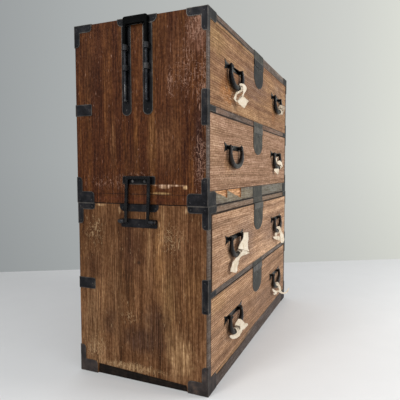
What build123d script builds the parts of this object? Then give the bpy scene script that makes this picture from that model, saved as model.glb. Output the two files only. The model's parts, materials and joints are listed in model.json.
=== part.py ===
from build123d import *
import os
from dataclasses import dataclass
from math import atan2, degrees

# Two-section clothing chest (kasane isho-dansu) of paulownia wood with iron fittings.
# Millimetres. X runs along the front, -Y is the front, +Z is up. The origin lies on the floor,
# under the middle of the chest's overall box, handles included.

# --- driving dimensions: the case ---------------------------------------------------------
chest_width = 1000.0
chest_depth = 428.0
upper_setback = 2.0  # the upper section stands a little further back than the lower
upper_end_thickness = 13.0
lower_end_thickness = 18.0
facing_depth = 5.0  # strip glued over the front edge of each end board
rail_depth = 24.0
top_board_thickness = 20.0
upper_bottom_board_thickness = 30.0
lower_bottom_board_thickness = 14.0
dust_board_thickness = 12.0
back_thickness = 10.0
upper_top_rail_height = 28.0
upper_bottom_rail_height = 40.0
lower_top_rail_height = 20.0
lower_bottom_rail_height = 47.0
mid_rail_height = 16.0
opening_1_height = 223.0  # the drawers' openings, from the top of the chest to its foot
opening_2_height = 217.0
opening_3_height = 218.0
opening_4_height = 225.0
foot_length = 62.0  # along the depth, at each corner of the end boards
foot_slope = 3.0  # each foot is this much longer at the height of the cut-out
base_gap_front = 20.0  # height of the cut-out between the feet, near the front
base_gap_back = 32.0
base_rail_recess = 4.0  # the rails in the cut-outs stand this far back from the ends' faces
base_rail_width = 28.0

# --- driving dimensions: the drawers ------------------------------------------------------
tongue_1_length = 96.0  # lock plates, down from the drawer's top edge
tongue_2_length = 100.0
tongue_3_length = 102.0
tongue_4_length = 105.0
handle_drop = 90.0  # from the top of the opening to the handles' axis
handle_4_drop = 100.0
drawer_3_proud = 2.5  # drawer 3 doesn't go all the way in
front_thickness = 20.0
box_side_thickness = 9.0
box_bottom_thickness = 6.0
side_clearance = 1.2
top_clearance = 1.2
bottom_clearance = 0.6
box_inset = 0.8  # the box is this much narrower than its front, on each side
box_lower_by = 8.0  # the box sides are this much lower than the front
rear_clearance = 6.0

# --- driving dimensions: the ironwork -----------------------------------------------------
iron = 1.5  # thickness of the sheet iron
iron_arm = 61.0  # length of every corner iron along the depth and along the front
iron_post = 18.0  # width of the corner irons' upright leg on the end boards
iron_round = 11.0
upper_top_iron = (21.0, 62.0)  # height of the arm on the end, length of the upright leg
upper_bottom_iron = (35.0, 78.0)
lower_top_iron = (19.0, 63.0)
lower_bottom_iron = (38.0, 83.0)
cap_width = 18.0  # how far irons reach onto the top of the chest
strap_arm = 58.0
strap_round = 5.0
front_strap_height = 96.0
back_strap_height = 34.0
upper_back_strap_rise = 12.0  # above the middle of the front strap
lock_plate_width = 124.0
lock_band_height = 22.0
lock_band_thickness = 3.0
tongue_round_height = 42.0
key_slot_width = 3.0
key_slot_height = 10.0
lock_case_width = 88.0
lock_case_height = 50.0
lock_case_thickness = 13.0
lock_case_gap = 0.2  # between the case and the wood round it
lock_recess = 10.0  # from the front of the section to the case, let into the drawer front
lock_wall = 2.0
bolt_width = 26.0
bolt_thickness = 5.0
bolt_height = 34.0
bolt_throw = 8.0
bolt_clearance = 0.4
bolt_top_gap = 0.3  # the withdrawn bolt lies this far below the drawer's top edge
mortise_spare = 1.0
nail_radius = 2.2
nail_height = 1.0
nail_taper = 0.45  # the head's top radius as a share of its foot
nail_inset = 10.0  # from the end of an iron to its nail
cut_beyond = 5.0  # how far a cut runs past the face it starts from

# --- driving dimensions: the drawer handles -----------------------------------------------
handle_offset = 285.0  # from the middle of the front to the middle of a handle
handle_plate_half = 87.0
handle_plate_body = (90.0, 15.0)  # the straight middle of the plate
handle_plate_round = 3.0
fish_tail = (24.0, 29.0)  # length and height of the tail at each end of the plate
fish_tail_waist = 14.0
fish_tail_notch = 5.0
bail_half_width = 56.0
bail_drop = 56.0
bail_rod = 7.0
bail_neck = 4.4
bail_neck_length = 20.0
bail_corner = 34.0
bail_axis_reach = 10.0  # from the drawer front to the bail's axis
pin_radius = 3.0
pin_clearance = 0.06
lug_width = 6.5
lug_inset = 5.5  # from the bail's leg to the outer face of the lug
lug_radius = 5.5
pin_head_radius = 4.5
pin_head_length = 2.5
running_gap = 0.5
tie_clearance = 0.3
tie_half_depth = 8.0
tie_thickness = 3.0
tie_width = 22.0

# --- driving dimensions: the carrying loops on the upper section --------------------------
loop_half_spacing = 34.5
loop_rod = 4.25
loop_axis_reach = 8.0
loop_clearance = 0.35
loop_foot_drop = 232.0  # from the top of the chest to the foot of the loop's rods
loop_head_radius = 6.0
loop_head_height = 5.0
loop_rise_above_top = 2.0
loop_bar_height = 22.0
loop_leg_width = 9.0
loop_leg_thickness = 9.0
staple_drops = (131.0, 75.0)  # from the top of the chest to the top of each pair of staples
staple_length = 15.0
staple_outer = 8.5
loop_strip_width = 31.0
loop_strip_drop = 270.0
edge_plate_width = 128.0
edge_plate_height = 20.0
edge_plate_round = 15.0

# --- driving dimensions: the lifting bails on the lower section ---------------------------
side_bail_half_width = 36.5
side_bail_axis_drop = 48.0  # below the top of the lower section
side_bail_axis_reach = 14.0
side_bail_rise = 130.0
side_bail_lean_gap = 0.3  # between the raised bail's cross bar and the plate behind it
side_bail_bar_height = 9.0
side_bail_leg_width = 10.0
side_bail_leg_thickness = 7.0
side_bail_foot_spare = 1.0  # each leg is this much thicker, each way, at its foot
side_knuckle_radius = 6.5
side_knuckle_length = 14.0
pivot_plate_width = 120.0
pivot_plate_height = 25.0
wear_plate_width = 108.0
wear_plate_height = 24.0
stud_radius = 5.0
stud_height = 2.5
stud_spacing = 40.0
stud_drop = 15.0  # below the top of the wear plate, clear of the bail's cross bar

# --- derived places -----------------------------------------------------------------------
half_width = chest_width / 2
lower_mid_rail_z = lower_bottom_rail_height + opening_4_height
lower_height = lower_mid_rail_z + mid_rail_height + opening_3_height + lower_top_rail_height
upper_mid_rail_z = lower_height + upper_bottom_rail_height + opening_2_height
chest_height = upper_mid_rail_z + mid_rail_height + opening_1_height + upper_top_rail_height
front_reach = drawer_3_proud + bail_axis_reach + tie_half_depth
back_reach = chest_depth + upper_setback + iron
front_y = -(back_reach - front_reach) / 2  # the middle of the overall box is Y = 0
loop_middle = chest_depth / 2
side_bail_axis_z = lower_height - side_bail_axis_drop
side_bail_bar_reach = iron + side_bail_lean_gap + side_bail_leg_thickness / 2
wear_plate_top = side_bail_axis_z + side_bail_rise


def at_depth(depth):
    """Y of a point this far behind the front face."""
    return front_y + depth


def block(x0, x1, depth0, depth1, z0, z1):
    """Rectangular piece between two X, two depths and two Z."""
    centre = ((x0 + x1) / 2, at_depth((depth0 + depth1) / 2), (z0 + z1) / 2)
    return Pos(*centre) * Box(x1 - x0, depth1 - depth0, z1 - z0)


def outline(*corners):
    """Flat outline from (u, v) or (u, v, radius) corners."""
    face = Polygon(*[corner[:2] for corner in corners], align=None)
    for corner in corners:
        if len(corner) == 3:
            nearest = face.vertices().sort_by_distance((corner[0], corner[1], 0))[0]
            face = fillet(nearest, corner[2])
    return face


def on_front(face, thickness, lift=0.0, x=0.0, z=0.0, depth=0.0):
    """Plate drawn in (x, z) and laid on the front, thick towards the viewer."""
    plane = Plane(origin=(x, at_depth(depth) - lift, z), x_dir=(1, 0, 0), z_dir=(0, -1, 0))
    return extrude(plane * face, thickness, dir=plane.z_dir)


def on_left_end(face, thickness, lift=0.0, depth=0.0, z=0.0):
    """Plate drawn in (towards the front, up) and laid on the left end."""
    origin = (-half_width - lift, at_depth(depth), z)
    plane = Plane(origin=origin, x_dir=(0, -1, 0), z_dir=(-1, 0, 0))
    return extrude(plane * face, thickness, dir=plane.z_dir)


def both_ends(pieces):
    """The pieces of the left end and their mirror images on the right."""
    return pieces + [mirror(piece, about=Plane.YZ) for piece in pieces]


def rod(start, end, radius):
    """Round bar between two points."""
    a, b = Vector(*start), Vector(*end)
    return extrude(Plane(origin=a, z_dir=b - a) * Circle(radius), (b - a).length)


nodes = {}


def keep(name, *pieces):
    """Collects the pieces of one node."""
    solids = [solid for piece in pieces for solid in piece.solids()]
    nodes[name] = Compound(label=name, children=solids)


# --- the two cases ------------------------------------------------------------------------
@dataclass
class Section:
    name: str
    bottom: float
    top: float
    mid_rail: float  # underside of the rail between the two drawers
    end_thickness: float
    setback: float
    top_rail: float
    bottom_rail: float
    board_low: float  # underside of the bottom board
    board_high: float
    top_iron: tuple
    bottom_iron: tuple

    @property
    def inner_half(self):
        return half_width - self.end_thickness

    @property
    def back(self):
        return self.setback + chest_depth


upper = Section(
    "upper", lower_height, chest_height, upper_mid_rail_z, upper_end_thickness, upper_setback,
    upper_top_rail_height, upper_bottom_rail_height,
    lower_height, lower_height + upper_bottom_board_thickness, upper_top_iron, upper_bottom_iron,
)
lower = Section(
    "lower", 0.0, lower_height, lower_mid_rail_z, lower_end_thickness, 0.0,
    lower_top_rail_height, lower_bottom_rail_height,
    lower_bottom_rail_height - lower_bottom_board_thickness, lower_bottom_rail_height,
    lower_top_iron, lower_bottom_iron,
)


def end_board(section):
    """Left end board, without the strip over its front edge."""
    foot = section.board_high if section is upper else section.bottom
    front = section.setback + facing_depth
    board = block(-half_width, -section.inner_half, front, section.back, foot, section.top)
    if section is lower:
        near, far = foot_length, chest_depth - foot_length
        gap = Polygon(
            (-at_depth(near), 0),
            (-at_depth(near + foot_slope), base_gap_front),
            (-at_depth(far - foot_slope), base_gap_back),
            (-at_depth(far), 0),
            align=None,
        )
        plane = Plane(origin=(-section.inner_half, 0, 0), x_dir=(0, -1, 0), z_dir=(-1, 0, 0))
        board -= extrude(plane * gap, section.end_thickness, dir=plane.z_dir)
    return board


def build_case(section):
    """Ends, boards, back and front frame of one section."""
    inner, front, back = section.inner_half, section.setback, section.back
    left = end_board(section)
    keep(f"{section.name}_left_end", left)
    keep(f"{section.name}_right_end", mirror(left, about=Plane.YZ))

    behind_rails = front + rail_depth
    inside_back = back - back_thickness
    top_under = section.top - top_board_thickness
    top_board = block(-inner, inner, behind_rails, inside_back, top_under, section.top)
    keep(f"{section.name}_top_board", top_board)

    low, high = section.board_low, section.board_high
    if section is upper:
        board = block(-half_width, half_width, front + facing_depth, back, low, high)
        board -= block(-inner, inner, front, behind_rails, low, high)
        keep("upper_bottom_board", board)
    else:
        board = block(-inner, inner, behind_rails, inside_back, low, high)
        # a rail under each end of the board fills the end board's cut-out
        face = -half_width + base_rail_recess
        rail = block(face, face + base_rail_width, behind_rails, inside_back, section.bottom, low)
        keep("lower_bottom_board", board, *both_ends([rail - left]))
    back_foot = high if section is upper else section.bottom
    keep(f"{section.name}_back_panel", block(-inner, inner, inside_back, back, back_foot, section.top))

    rail_top = section.mid_rail + mid_rail_height
    dust_under = rail_top - dust_board_thickness
    dust_board = block(-inner, inner, behind_rails, inside_back, dust_under, rail_top)
    keep(f"{section.name}_dust_board", dust_board)

    rails = [
        block(-inner, inner, front, behind_rails, section.top - section.top_rail, section.top),
        block(-inner, inner, front, behind_rails, section.mid_rail, rail_top),
        block(-inner, inner, front, behind_rails, section.bottom, section.bottom + section.bottom_rail),
    ]
    mortises = [
        bolt_mortise(section.top - section.top_rail, front),
        bolt_mortise(section.mid_rail, front),
    ]
    rails = [rails[0] - mortises[0], rails[1] - mortises[1], rails[2]]
    facing = block(-half_width, -inner, front, front + facing_depth, section.bottom, section.top)
    keep(f"{section.name}_front_frame", *rails, *both_ends([facing]))


def bolt_depth(front):
    """Depth of the middle of a lock bolt."""
    return front + lock_recess + lock_case_thickness / 2


def bolt_mortise(rail_under, front):
    """Pocket in the underside of a rail that takes a thrown bolt."""
    middle, half = bolt_depth(front), bolt_thickness / 2 + 2 * bolt_clearance
    wide, roof = bolt_width / 2 + 2 * bolt_clearance, rail_under + bolt_throw + mortise_spare
    return block(-wide, wide, middle - half, middle + half, rail_under, roof)


# --- irons on the edges of the cases ------------------------------------------------------
def corner_iron(section, at_front, at_top, arm_height, post_length):
    """Left corner iron: an L on the end and an L on the front or back, folded round the edge."""
    edge = section.setback if at_front else section.setback + chest_depth
    inward = -1 if at_front else 1  # towards the middle of the end, in the plate's own u
    level = section.top if at_top else section.bottom
    up = -1 if at_top else 1
    cap = iron if section is upper and at_top else 0.0
    round_end = min(iron_round, arm_height / 2)

    end_face = outline(
        (-inward * iron, -up * cap),
        (inward * iron_arm, -up * cap),
        (inward * iron_arm, up * arm_height, round_end),
        (inward * iron_post, up * arm_height),
        (inward * iron_post, up * post_length, iron_round),
        (-inward * iron, up * post_length),
    )
    piece = on_left_end(end_face, iron, depth=edge, z=level)

    if at_front:
        rail = section.top_rail if at_top else section.bottom_rail
        leg = section.end_thickness
    else:
        rail, leg = arm_height, iron_post
    across = outline(
        (-iron, -up * cap),
        (iron_arm, -up * cap),
        (iron_arm, up * rail, min(iron_round, rail / 2)),
        (leg, up * rail),
        (leg, up * post_length),
        (-iron, up * post_length),
    )
    lift = 0.0 if at_front else -iron
    piece += on_front(across, iron, lift=lift, x=-half_width, z=level, depth=edge)

    if cap:
        toward = 1 if at_front else -1
        plan = outline(
            (0, 0),
            (iron_arm, 0),
            (iron_arm, toward * cap_width, iron_round),
            (cap_width, toward * cap_width),
            (cap_width, toward * iron_arm, iron_round),
            (0, toward * iron_arm),
        )
        piece += extrude(Pos(-half_width, at_depth(edge), level) * plan, iron, dir=(0, 0, 1))
    return piece


def front_strap(section):
    """Left strap where the rail between two drawers meets the end."""
    middle = section.mid_rail + mid_rail_height / 2
    half, front = front_strap_height / 2, section.setback
    side = outline(
        (iron, -half), (-iron_post, -half, strap_round), (-iron_post, half, strap_round), (iron, half)
    )
    piece = on_left_end(side, iron, depth=front, z=middle)
    leg, arm = section.end_thickness, mid_rail_height / 2
    across = outline(
        (-iron, -half), (leg, -half), (leg, -arm), (strap_arm, -arm), (strap_arm, arm),
        (leg, arm), (leg, half), (-iron, half),
    )
    return piece + on_front(across, iron, x=-half_width, z=middle, depth=front)


def back_strap_middle(section):
    rise = upper_back_strap_rise if section is upper else 0.0
    return section.mid_rail + mid_rail_height / 2 + rise


def back_strap(section):
    """Left strap round the back edge."""
    middle, back = back_strap_middle(section), section.setback + chest_depth
    half = back_strap_height / 2
    side = outline(
        (-iron, -half), (strap_arm, -half, strap_round), (strap_arm, half, strap_round), (-iron, half)
    )
    piece = on_left_end(side, iron, depth=back, z=middle)
    across = outline((-iron, -half), (strap_arm / 2, -half), (strap_arm / 2, half), (-iron, half))
    return piece + on_front(across, iron, lift=-iron, x=-half_width, z=middle, depth=back)


def strike_plate(section, low, high, capped=False):
    """Plate on a rail, in line with the lock plate of the drawer below it."""
    half, front = lock_plate_width / 2, section.setback
    plate = block(-half, half, front - iron, front, low, high + (iron if capped else 0))
    if capped:
        plate += block(-half, half, front, front + cap_width, high, high + iron)
    return plate


def nail_on_front(x, z, depth, lift=iron):
    return Pos(x, at_depth(depth) - lift, z) * Rot(90, 0, 0) * nail_head()


def nail_on_left_end(depth, z, lift=iron):
    return Pos(-half_width - lift, at_depth(depth), z) * Rot(0, -90, 0) * nail_head()


def nail_head():
    low = (Align.CENTER, Align.CENTER, Align.MIN)
    return Cone(nail_radius, nail_radius * nail_taper, nail_height, align=low)


def corner_nails(section, at_front, at_top, arm_height, post_length):
    """Nail heads of one left corner iron: three on the end, one on the front."""
    edge = section.setback + (0 if at_front else chest_depth)
    inward = 1 if at_front else -1
    level = section.top if at_top else section.bottom
    up = -1 if at_top else 1
    row = level + up * min(arm_height / 2, nail_inset)
    nails = [
        nail_on_left_end(edge + inward * (iron_arm - nail_inset), row),
        nail_on_left_end(edge + inward * iron_post / 2, row),
        nail_on_left_end(edge + inward * iron_post / 2, level + up * (post_length - nail_inset)),
    ]
    if at_front:
        nails.append(nail_on_front(-half_width + iron_arm - nail_inset, row, section.setback))
    return nails


def build_edge_irons(section):
    """Corner irons, straps and strike plates of one section; gives the nails for its left end."""
    name, rail_top = section.name, section.mid_rail + mid_rail_height
    corners, nails = [], []
    for at_front in (True, False):
        for at_top, sizes in ((True, section.top_iron), (False, section.bottom_iron)):
            corners.append(corner_iron(section, at_front, at_top, *sizes))
            nails += corner_nails(section, at_front, at_top, *sizes)
    keep(f"{name}_corner_irons", *both_ends(corners))
    keep(f"{name}_strap_irons", *both_ends([front_strap(section), back_strap(section)]))

    middle = section.mid_rail + mid_rail_height / 2
    for up in (-1, 1):
        z = middle + up * (front_strap_height / 2 - nail_inset)
        nails.append(nail_on_left_end(section.setback + iron_post / 2, z))
    back_nail = section.setback + chest_depth - strap_arm + nail_inset
    nails.append(nail_on_left_end(back_nail, back_strap_middle(section)))
    nails.append(nail_on_front(-half_width + strap_arm - nail_inset, middle, section.setback))

    levels = [
        (section.top - section.top_rail, section.top, section is upper),
        (section.mid_rail, rail_top, False),
    ]
    if section is upper:
        levels.append((section.bottom, section.bottom + section.bottom_rail, False))
    keep(f"{name}_strike_plates", *[strike_plate(section, *level) for level in levels])
    for low, high, _ in levels:
        x = -lock_plate_width / 2 + nail_inset
        nails.append(nail_on_front(x, (low + high) / 2, section.setback))
    return nails


# --- drawers ------------------------------------------------------------------------------
@dataclass
class Drawer:
    name: str
    section: Section
    low: float  # opening, from the rail below
    high: float  # to the rail above
    tongue_length: float
    handle_drop: float
    proud: float = 0.0

    @property
    def front(self):
        return self.section.setback - self.proud

    @property
    def top(self):
        return self.high - top_clearance

    @property
    def handle_z(self):
        return self.high - self.handle_drop


drawers = [
    Drawer("drawer_1", upper, upper.mid_rail + mid_rail_height, upper.top - upper.top_rail,
           tongue_1_length, handle_drop),
    Drawer("drawer_2", upper, upper.bottom + upper.bottom_rail, upper.mid_rail,
           tongue_2_length, handle_drop),
    Drawer("drawer_3", lower, lower.mid_rail + mid_rail_height, lower.top - lower.top_rail,
           tongue_3_length, handle_drop, drawer_3_proud),
    Drawer("drawer_4", lower, lower.bottom + lower.bottom_rail, lower.mid_rail,
           tongue_4_length, handle_4_drop),
]


def lock_case_place(drawer, grow=0.0):
    """Room of the lock case, behind the drawer front's face and open at its top edge."""
    half, foot = lock_case_width / 2 + grow, drawer.top - lock_case_height - grow
    near = drawer.section.setback + lock_recess
    return block(-half, half, near, near + lock_case_thickness, foot, drawer.top)


def key_slot(drawer, through):
    """Slot for the key, just under the raised band of the lock plate."""
    middle = drawer.top - lock_band_height - key_slot_height
    half_x, half_z = key_slot_width / 2, key_slot_height / 2
    near, far = drawer.front - cut_beyond, drawer.front + through
    return block(-half_x, half_x, near, far, middle - half_z, middle + half_z)


def drawer_front(drawer):
    half = drawer.section.inner_half - side_clearance
    back = drawer.section.setback + front_thickness
    board = block(-half, half, drawer.front, back, drawer.low + bottom_clearance, drawer.top)
    board -= lock_case_place(drawer, lock_case_gap)
    return board - key_slot(drawer, front_thickness)


def drawer_box(drawer):
    half = drawer.section.inner_half - side_clearance - box_inset
    near = drawer.section.setback + front_thickness
    far = drawer.section.setback + chest_depth - back_thickness - rear_clearance
    low, high = drawer.low + bottom_clearance, drawer.top - box_lower_by
    inner = half - box_side_thickness
    floor_top = low + box_bottom_thickness
    return [
        block(-half, -inner, near, far, low, high),
        block(inner, half, near, far, low, high),
        block(-inner, inner, far - box_side_thickness, far, floor_top, high),
        block(-inner, inner, near, far, low, floor_top),
    ]


def lock_plate(drawer):
    """Tongue with a rounded foot and a raised band along its top."""
    half, length = lock_plate_width / 2, drawer.tongue_length
    foot = Ellipse(half, tongue_round_height)
    straight = length - tongue_round_height
    tongue = Pos(0, -straight / 2) * Rectangle(lock_plate_width, straight) + Pos(0, -straight) * foot
    tongue -= Pos(0, tongue_round_height) * Rectangle(lock_plate_width * 2, tongue_round_height * 2)
    plate = on_front(tongue, iron, z=drawer.top, depth=drawer.front)
    low, front = drawer.top - lock_band_height, drawer.front
    plate += block(-half, half, front - lock_band_thickness, front, low, drawer.top)
    return plate - key_slot(drawer, 0)


def lock_case(drawer):
    """Iron box of the lock, open at the top for its bolt."""
    case = lock_case_place(drawer)
    middle, half = bolt_depth(drawer.section.setback), bolt_thickness / 2 + bolt_clearance
    wide = bolt_width / 2 + bolt_clearance
    foot = drawer.top - bolt_top_gap - bolt_height
    case -= block(-wide, wide, middle - half, middle + half, foot, drawer.top)
    return case - key_slot(drawer, lock_recess + drawer.proud + lock_wall)


def lock_bolt(drawer):
    """Withdrawn bolt, standing on the foot of its slot."""
    middle, half = bolt_depth(drawer.section.setback), bolt_thickness / 2
    top = drawer.top - bolt_top_gap
    return block(-bolt_width / 2, bolt_width / 2, middle - half, middle + half, top - bolt_height, top)


# --- drawer handles -----------------------------------------------------------------------
def handle_plate(drawer, x):
    """Long back plate with a fish tail at each end, and two lugs for the bail."""
    tip, waist, tail = handle_plate_half, fish_tail_waist / 2, fish_tail[1] / 2
    notch, neck = tip - fish_tail_notch, tip - fish_tail[0]
    right = [(neck, waist), (tip, tail), (notch, 0), (tip, -tail), (neck, -waist)]
    left = [(-u, -v) for u, v in right]
    face = Polygon(*right, *left, align=None)
    face += RectangleRounded(*handle_plate_body, handle_plate_round)
    plate = on_front(face, iron, x=x, z=drawer.handle_z, depth=drawer.front)
    axis = drawer.front - bail_axis_reach
    for side in (-1, 1):
        outer = x + side * (bail_half_width - lug_inset)
        inner = outer - side * lug_width
        low, high = sorted((outer, inner))
        z = drawer.handle_z
        lug = block(low, high, axis, drawer.front, z - lug_radius, z + lug_radius)
        start, end = (low, at_depth(axis), z), (high, at_depth(axis), z)
        lug += rod(start, end, lug_radius)
        plate += lug - rod(start, end, pin_radius + pin_clearance)
    return plate


def bail(drawer, x, swell=0.0):
    """Thick iron bail, thinner at its necks, with pins turned inward through the lugs."""
    y, z = at_depth(drawer.front - bail_axis_reach), drawer.handle_z
    neck_z, foot_z = z - bail_neck_length, z - bail_drop
    left, right = x - bail_half_width, x + bail_half_width
    corners = [(left, y, neck_z), (left, y, foot_z), (right, y, foot_z), (right, y, neck_z)]
    path = FilletPolyline(*corners, radius=min(bail_corner, bail_drop - bail_neck_length - 1))
    piece = sweep(Plane(origin=corners[0], z_dir=(0, 0, -1)) * Circle(bail_rod + swell), path=path)
    low = (Align.CENTER, Align.CENTER, Align.MIN)
    for side in (-1, 1):
        leg = x + side * bail_half_width
        neck = Cone(bail_rod + swell, bail_neck + swell, bail_neck_length, align=low)
        piece += Pos(leg, y, neck_z) * neck
        piece += Pos(leg, y, z) * Sphere(bail_neck + swell)
        lug_inner = leg - side * (lug_inset + lug_width)
        pin_end = lug_inner - side * (running_gap + pin_head_length)
        piece += rod((leg, y, z), (pin_end, y, z), pin_radius + swell)
        piece += rod((pin_end + side * pin_head_length, y, z), (pin_end, y, z), pin_head_radius + swell)
    return piece


# Each tie: the middle and size of the knot on the bail, then its tails, from the bail's axis.
ties = {
    "drawer_1_left": ((34, -50), (30, 24), [((26, -60), (-42, -94)), ((-42, -94), (58, -100))]),
    "drawer_1_right": ((36, -46), (46, 28), [((30, -60), (18, -84))]),
    "drawer_2_right": ((38, -44), (38, 26), [((22, -60), (-22, -86)), ((22, -44), (-28, -20))]),
    "drawer_3_left": ((44, -50), (40, 30), [((74, -50), (76, -14)), ((20, -62), (-48, -106))]),
    "drawer_3_right": ((22, -56), (40, 26), [((34, -62), (64, -112)), ((8, -64), (-30, -80))]),
    "drawer_4_left": ((42, -44), (42, 34), [((24, -64), (-30, -78)), ((52, -44), (82, -64))]),
    "drawer_4_right": ((16, -56), (36, 26), [((28, -66), (66, -98)), ((66, -98), (104, -92))]),
}


def strip(start, end):
    """Flat strip of cloth between two points of the bail's plane, in (x, z)."""
    a, b = Vector(*start), Vector(*end)
    run = b - a
    middle = (a + b) / 2
    turned = Rot(0, 0, degrees(atan2(run.Y, run.X))) * Rectangle(run.length + tie_width / 4, tie_width)
    return Pos(middle.X, middle.Y) * turned


def tie(drawer, x, knot, size, tails):
    """Cloth strip knotted round the bail, as one plain soft solid."""
    depth = drawer.front - bail_axis_reach
    place = {"x": x, "z": drawer.handle_z, "depth": depth}
    lump = Pos(*knot) * Rectangle(*size)
    piece = on_front(lump, 2 * tie_half_depth, lift=-tie_half_depth, **place)
    for start, end in tails:
        piece += on_front(strip(start, end), tie_thickness, lift=-tie_thickness / 2, **place)
    piece -= bail(drawer, x, tie_clearance)
    return piece.solids().sort_by(SortBy.VOLUME)[-1]


def build_drawer(drawer):
    name = drawer.name
    keep(f"{name}_front", drawer_front(drawer))
    keep(f"{name}_box", *drawer_box(drawer))
    keep(f"{name}_lock_bolt", lock_bolt(drawer))
    plates = []
    for side, x in (("left", -handle_offset), ("right", handle_offset)):
        plates.append(handle_plate(drawer, x))
        keep(f"{name}_{side}_bail", bail(drawer, x))
        if f"{name}_{side}" in ties:
            keep(f"{name}_{side}_tie", tie(drawer, x, *ties[f"{name}_{side}"]))
    keep(f"{name}_fittings", lock_plate(drawer), lock_case(drawer), *plates)


# --- carrying loops of the upper section --------------------------------------------------
def loop_strips():
    """Two long strips with rounded feet and the plate over the top edge, on the left end."""
    half, top = loop_strip_width / 2, chest_height - edge_plate_height
    foot, foot_round = chest_height - loop_strip_drop, loop_strip_width / 2 - 1
    strip_face = outline((-half, foot, foot_round), (half, foot, foot_round), (half, top), (-half, top))
    middle = loop_middle + upper_setback
    pieces = [
        on_left_end(strip_face, iron, depth=middle + side * loop_half_spacing) for side in (-1, 1)
    ]
    pieces.append(edge_plate(middle, chest_height, cap_width))
    return pieces


def edge_plate(middle, top, cap):
    """Plate hung over the upper edge of the left end, with rounded lower corners."""
    half, foot = edge_plate_width / 2, top - edge_plate_height
    brow = top + (iron if cap else 0)
    face = outline(
        (-half, brow), (-half, foot, edge_plate_round), (half, foot, edge_plate_round), (half, brow)
    )
    piece = on_left_end(face, iron, depth=middle)
    if cap:
        inner = -half_width + cap
        piece += block(-half_width, inner, middle - half, middle + half, top, top + iron)
    return piece


def loop_staple(depth, low, high):
    """Staple that guides one leg of the left carrying loop."""
    axis_x, y, foot_x = -half_width - loop_axis_reach, at_depth(depth), -half_width - iron
    near, far = depth - staple_outer, depth + staple_outer
    body = block(axis_x, foot_x, near, far, low, high)
    body += rod((axis_x, y, low), (axis_x, y, high), staple_outer)
    body -= block(foot_x, foot_x + staple_outer, near, far, low, high)
    return body - rod((axis_x, y, low), (axis_x, y, high), loop_rod + loop_clearance)


def carrying_loop():
    """Left loop: a flat cross bar with shoulders, and two rods with heads at their feet."""
    axis_x = -half_width - loop_axis_reach
    outer, inner = axis_x - loop_leg_thickness / 2, axis_x + loop_leg_thickness / 2
    top = chest_height + loop_rise_above_top
    shoulder, foot = chest_height - staple_drops[1], chest_height - loop_foot_drop
    middle = loop_middle + upper_setback
    reach = loop_half_spacing + loop_leg_width / 2
    piece = block(outer, inner, middle - reach, middle + reach, top - loop_bar_height, top)
    for side in (-1, 1):
        depth = middle + side * loop_half_spacing
        half = loop_leg_width / 2
        piece += block(outer, inner, depth - half, depth + half, shoulder, top)
        y = at_depth(depth)
        piece += rod((axis_x, y, foot), (axis_x, y, shoulder + half), loop_rod)
        piece += rod((axis_x, y, foot), (axis_x, y, foot + loop_head_height), loop_head_radius)
    return piece


def wear_plate():
    """Plate behind the lower section's raised bail, with two domed studs."""
    face = RectangleRounded(wear_plate_width, wear_plate_height, strap_round)
    return on_left_end(face, iron, depth=loop_middle, z=wear_plate_top - wear_plate_height / 2)


def stud(depth, z):
    """Domed stud on the left end."""
    low = (Align.CENTER, Align.CENTER, Align.MIN)
    place = Pos(-half_width - iron, at_depth(depth), z) * Rot(0, -90, 0)
    return place * Cone(stud_radius, stud_radius * nail_taper, stud_height, align=low)


# --- lifting bails of the lower section ---------------------------------------------------
def pivot_plate():
    """Plate with two knuckles that carry the left lifting bail."""
    top = side_bail_axis_z + side_knuckle_radius
    face = RectangleRounded(pivot_plate_width, pivot_plate_height, strap_round)
    piece = on_left_end(face, iron, depth=loop_middle, z=top - pivot_plate_height / 2)
    axis_x, z = -half_width - side_bail_axis_reach, side_bail_axis_z
    start = side_bail_half_width + side_bail_leg_width / 2 + running_gap
    for side in (-1, 1):
        near, far = sorted((loop_middle + side * start, loop_middle + side * (start + side_knuckle_length)))
        knuckle = block(axis_x, -half_width, near, far, z - side_knuckle_radius, z + side_knuckle_radius)
        a, b = (axis_x, at_depth(near), z), (axis_x, at_depth(far), z)
        knuckle += rod(a, b, side_knuckle_radius)
        piece += knuckle - rod(a, b, pin_radius + pin_clearance)
    return piece


def side_bail():
    """Left lifting bail, standing up and leaning against the upper section."""
    axis_x, z = -half_width - side_bail_axis_reach, side_bail_axis_z
    bar_x, top = -half_width - side_bail_bar_reach, z + side_bail_rise
    leg, half_t = side_bail_leg_width / 2, side_bail_leg_thickness / 2
    reach = side_bail_half_width + leg
    low_bar = top - side_bail_bar_height
    piece = block(bar_x - half_t, bar_x + half_t, loop_middle - reach, loop_middle + reach, low_bar, top)
    foot_half, into_bar = half_t + side_bail_foot_spare, low_bar + side_bail_bar_height / 2
    for side in (-1, 1):
        depth = loop_middle + side * side_bail_half_width
        profile = Polygon(
            (axis_x - foot_half, z), (axis_x + foot_half, z),
            (bar_x + half_t, into_bar), (bar_x - half_t, into_bar),
            align=None,
        )
        plane = Plane(origin=(0, at_depth(depth + leg), 0), x_dir=(1, 0, 0), z_dir=(0, -1, 0))
        piece += extrude(plane * profile, side_bail_leg_width, dir=plane.z_dir)
        inner, outer = at_depth(depth - side * leg), at_depth(depth + side * leg)
        piece += rod((axis_x, inner, z), (axis_x, outer, z), foot_half)
        pin_end = outer + side * (running_gap * 2 + side_knuckle_length + pin_head_length)
        piece += rod((axis_x, outer, z), (axis_x, pin_end, z), pin_radius)
        piece += rod((axis_x, pin_end - side * pin_head_length, z), (axis_x, pin_end, z), pin_head_radius)
    return piece


# --- the whole chest ----------------------------------------------------------------------
for section in (upper, lower):
    build_case(section)
upper_nails = build_edge_irons(upper)
lower_nails = build_edge_irons(lower)
for drawer in drawers:
    build_drawer(drawer)

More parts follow.
